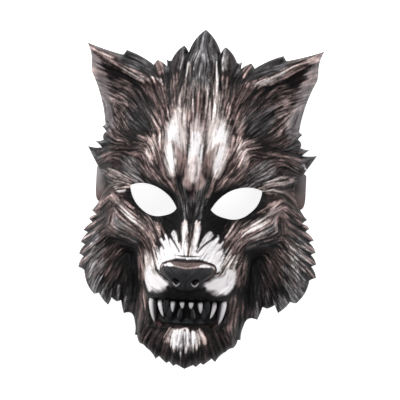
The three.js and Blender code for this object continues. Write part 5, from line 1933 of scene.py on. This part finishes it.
@dataclass(frozen=True)
class Studio:
    """Pale floor, soft lamps and the camera above the face."""

    distance: float = 2.5
    lens_mm: float = 250.0
    sensor_mm: float = 36.0
    turn_deg: float = 5.8
    roll_deg: float = 2.6
    floor_size: float = 6.0
    floor_colour: tuple[float, ...] = (0.9, 0.9, 0.9, 1)
    floor_roughness: float = 0.9
    # Light of the floor's own, so that it stays as pale as the backdrop of a product picture.
    floor_glow: float = 0.85
    sky_colour: tuple[float, ...] = (0.95, 0.96, 1.0, 1)
    sky_strength: float = 0.38
    # Lamps: name, place in metres, side in metres and watts.
    lamps: tuple[tuple[str, tuple[float, ...], float, float], ...] = (
        ("key", (-0.6, 1.1, 1.3), 0.8, 26),
        ("fill", (0.9, -0.5, 1.6), 1.2, 8),
    )

    def camera(self, aim: Vector) -> None:
        """Sets the camera at the viewing angle of the reference.

        Args:
            aim: the place that it looks at, m.
        """
        data = bpy.data.cameras.new("camera")
        data.lens = self.lens_mm
        data.sensor_width = self.sensor_mm
        camera = bpy.data.objects.new("camera", data)
        turn, roll = math.radians(self.turn_deg), math.radians(self.roll_deg)
        away = Vector((math.sin(turn), 0, math.cos(turn)))
        camera.location = aim + away * self.distance
        forward = -away
        up = Vector((-math.sin(roll), math.cos(roll), 0))
        right = forward.cross(up).normalized()
        upright = right.cross(forward)
        camera.rotation_euler = Matrix((right, upright, -forward)).transposed().to_euler()
        bpy.context.scene.collection.objects.link(camera)
        bpy.context.scene.camera = camera

    def floor(self) -> bpy.types.Object:
        """Lays the floor that the mask rests on.

        Returns:
            The floor.
        """
        half = self.floor_size / 2
        corners = np.array([(-half, -half, 0), (half, -half, 0), (half, half, 0), (-half, half, 0)])
        piece = new_mesh("floor", corners, [(0, 1, 2, 3)])
        looks = {"Base Color": self.floor_colour, "Roughness": self.floor_roughness,
                 "Emission Color": (1, 1, 1, 1), "Emission Strength": self.floor_glow}
        piece.data.materials.append(new_material("painted_floor", looks)[0])
        return piece

    def lamp(self, name: str, place: Sequence[float], size: float, watts: float) -> None:
        """Hangs a soft square lamp that faces the mask.

        Args:
            name: its name.
            place: where it hangs, m.
            size: its side, m.
            watts: its power.
        """
        data = bpy.data.lights.new(name, "AREA")
        data.size = size
        data.energy = watts
        lamp = bpy.data.objects.new(name, data)
        lamp.location = place
        lamp.rotation_euler = (-Vector(place)).to_track_quat("-Z", "Y").to_euler()
        bpy.context.scene.collection.objects.link(lamp)

    def light(self) -> None:
        """Lights the mask from all round, most from the crown, and shows colours as they are."""
        bpy.context.scene.view_settings.view_transform = "Standard"
        world = bpy.data.worlds.new("studio")
        bpy.context.scene.world = world
        world.use_nodes = True
        back = world.node_tree.nodes["Background"]
        back.inputs["Color"].default_value = self.sky_colour
        back.inputs["Strength"].default_value = self.sky_strength
        for lamp in self.lamps:
            self.lamp(*lamp)


def face_print(form: MouldForm, margin: float = 4.0) -> PrintCanvas:
    """Draws the whole print of the face.

    Args:
        form: the mould.
        margin: how far the print reaches past the outline, mm.

    Returns:
        The finished print.
    """
    wide, high = form.half_width + margin, form.crown_height + margin
    canvas = PrintCanvas((-wide, -high), (wide, high), Hue.BARK, pitch=0.36)
    for mark in MARKS:
        canvas.stroke(mark)
    for patch in PATCHES:
        canvas.hairs(patch)
    RimLocks(form).draw(canvas)
    canvas.finish(contrast=0.6, grain=0.35)
    LOG.info("print: %d marks and %d patches", len(MARKS), len(PATCHES))
    return canvas


def main() -> None:
    """Builds the mask, dresses it and sets the studio."""
    logging.basicConfig(level=logging.INFO, format="%(name)s: %(message)s")
    low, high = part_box("face_shell")
    reach = 1 - LOCKS["chin_c"][1] / LOCKS["crest"][1]
    form = MouldForm(high.x / MM, (high.y - low.y) / MM / reach, depth=NOSE_SHARE * high.z / MM)
    studio = Studio()
    studio.camera(Vector((0, -form.middle * MM, 0)))
    shell = FaceShell(form, face_print(form)).build()
    nose = NosePad(form).build()
    teeth = Teeth(form).build()
    for piece in (shell, nose, teeth):
        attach(piece, "root")
        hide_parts("face_shell")
        LOG.info("face: %s", piece.name)
    for piece, finish in (
        (shell, PrintedFoam()),
        (nose, PrintedFoam("moulded_eva_foam_nose", roughness=0.4, grain_mm=1.1, bump_mm=0.2)),
        (teeth, PrintedFoam("moulded_eva_foam_teeth", roughness=0.35, bump_mm=0.04)),
    ):
        piece.data.materials.append(finish.material())

    plain = PrintedFoam("moulded_eva_foam_plain", roughness=0.6, bump_mm=0.06).material()
    for side, node in ((-1, "strap_tab_left"), (1, "strap_tab_right")):
        tab = StrapTab(form, side).build()
        tab.data.materials.append(plain)
        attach(tab, "root")
        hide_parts(node)
        LOG.info("tab: %s", tab.name)
    elastic = ElasticStrap()
    strap, stitches = elastic.build(), elastic.stitches()
    strap.data.materials.append(WovenElastic().material())
    stitches.data.materials.append(SewingThread().material())
    for piece in (strap, stitches):
        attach(piece, "root")
        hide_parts("elastic_strap")
        LOG.info("strap: %s", piece.name)
    LOG.info("studio: %s", studio.floor().name)
    studio.light()


if __name__ == "__main__":
    main()
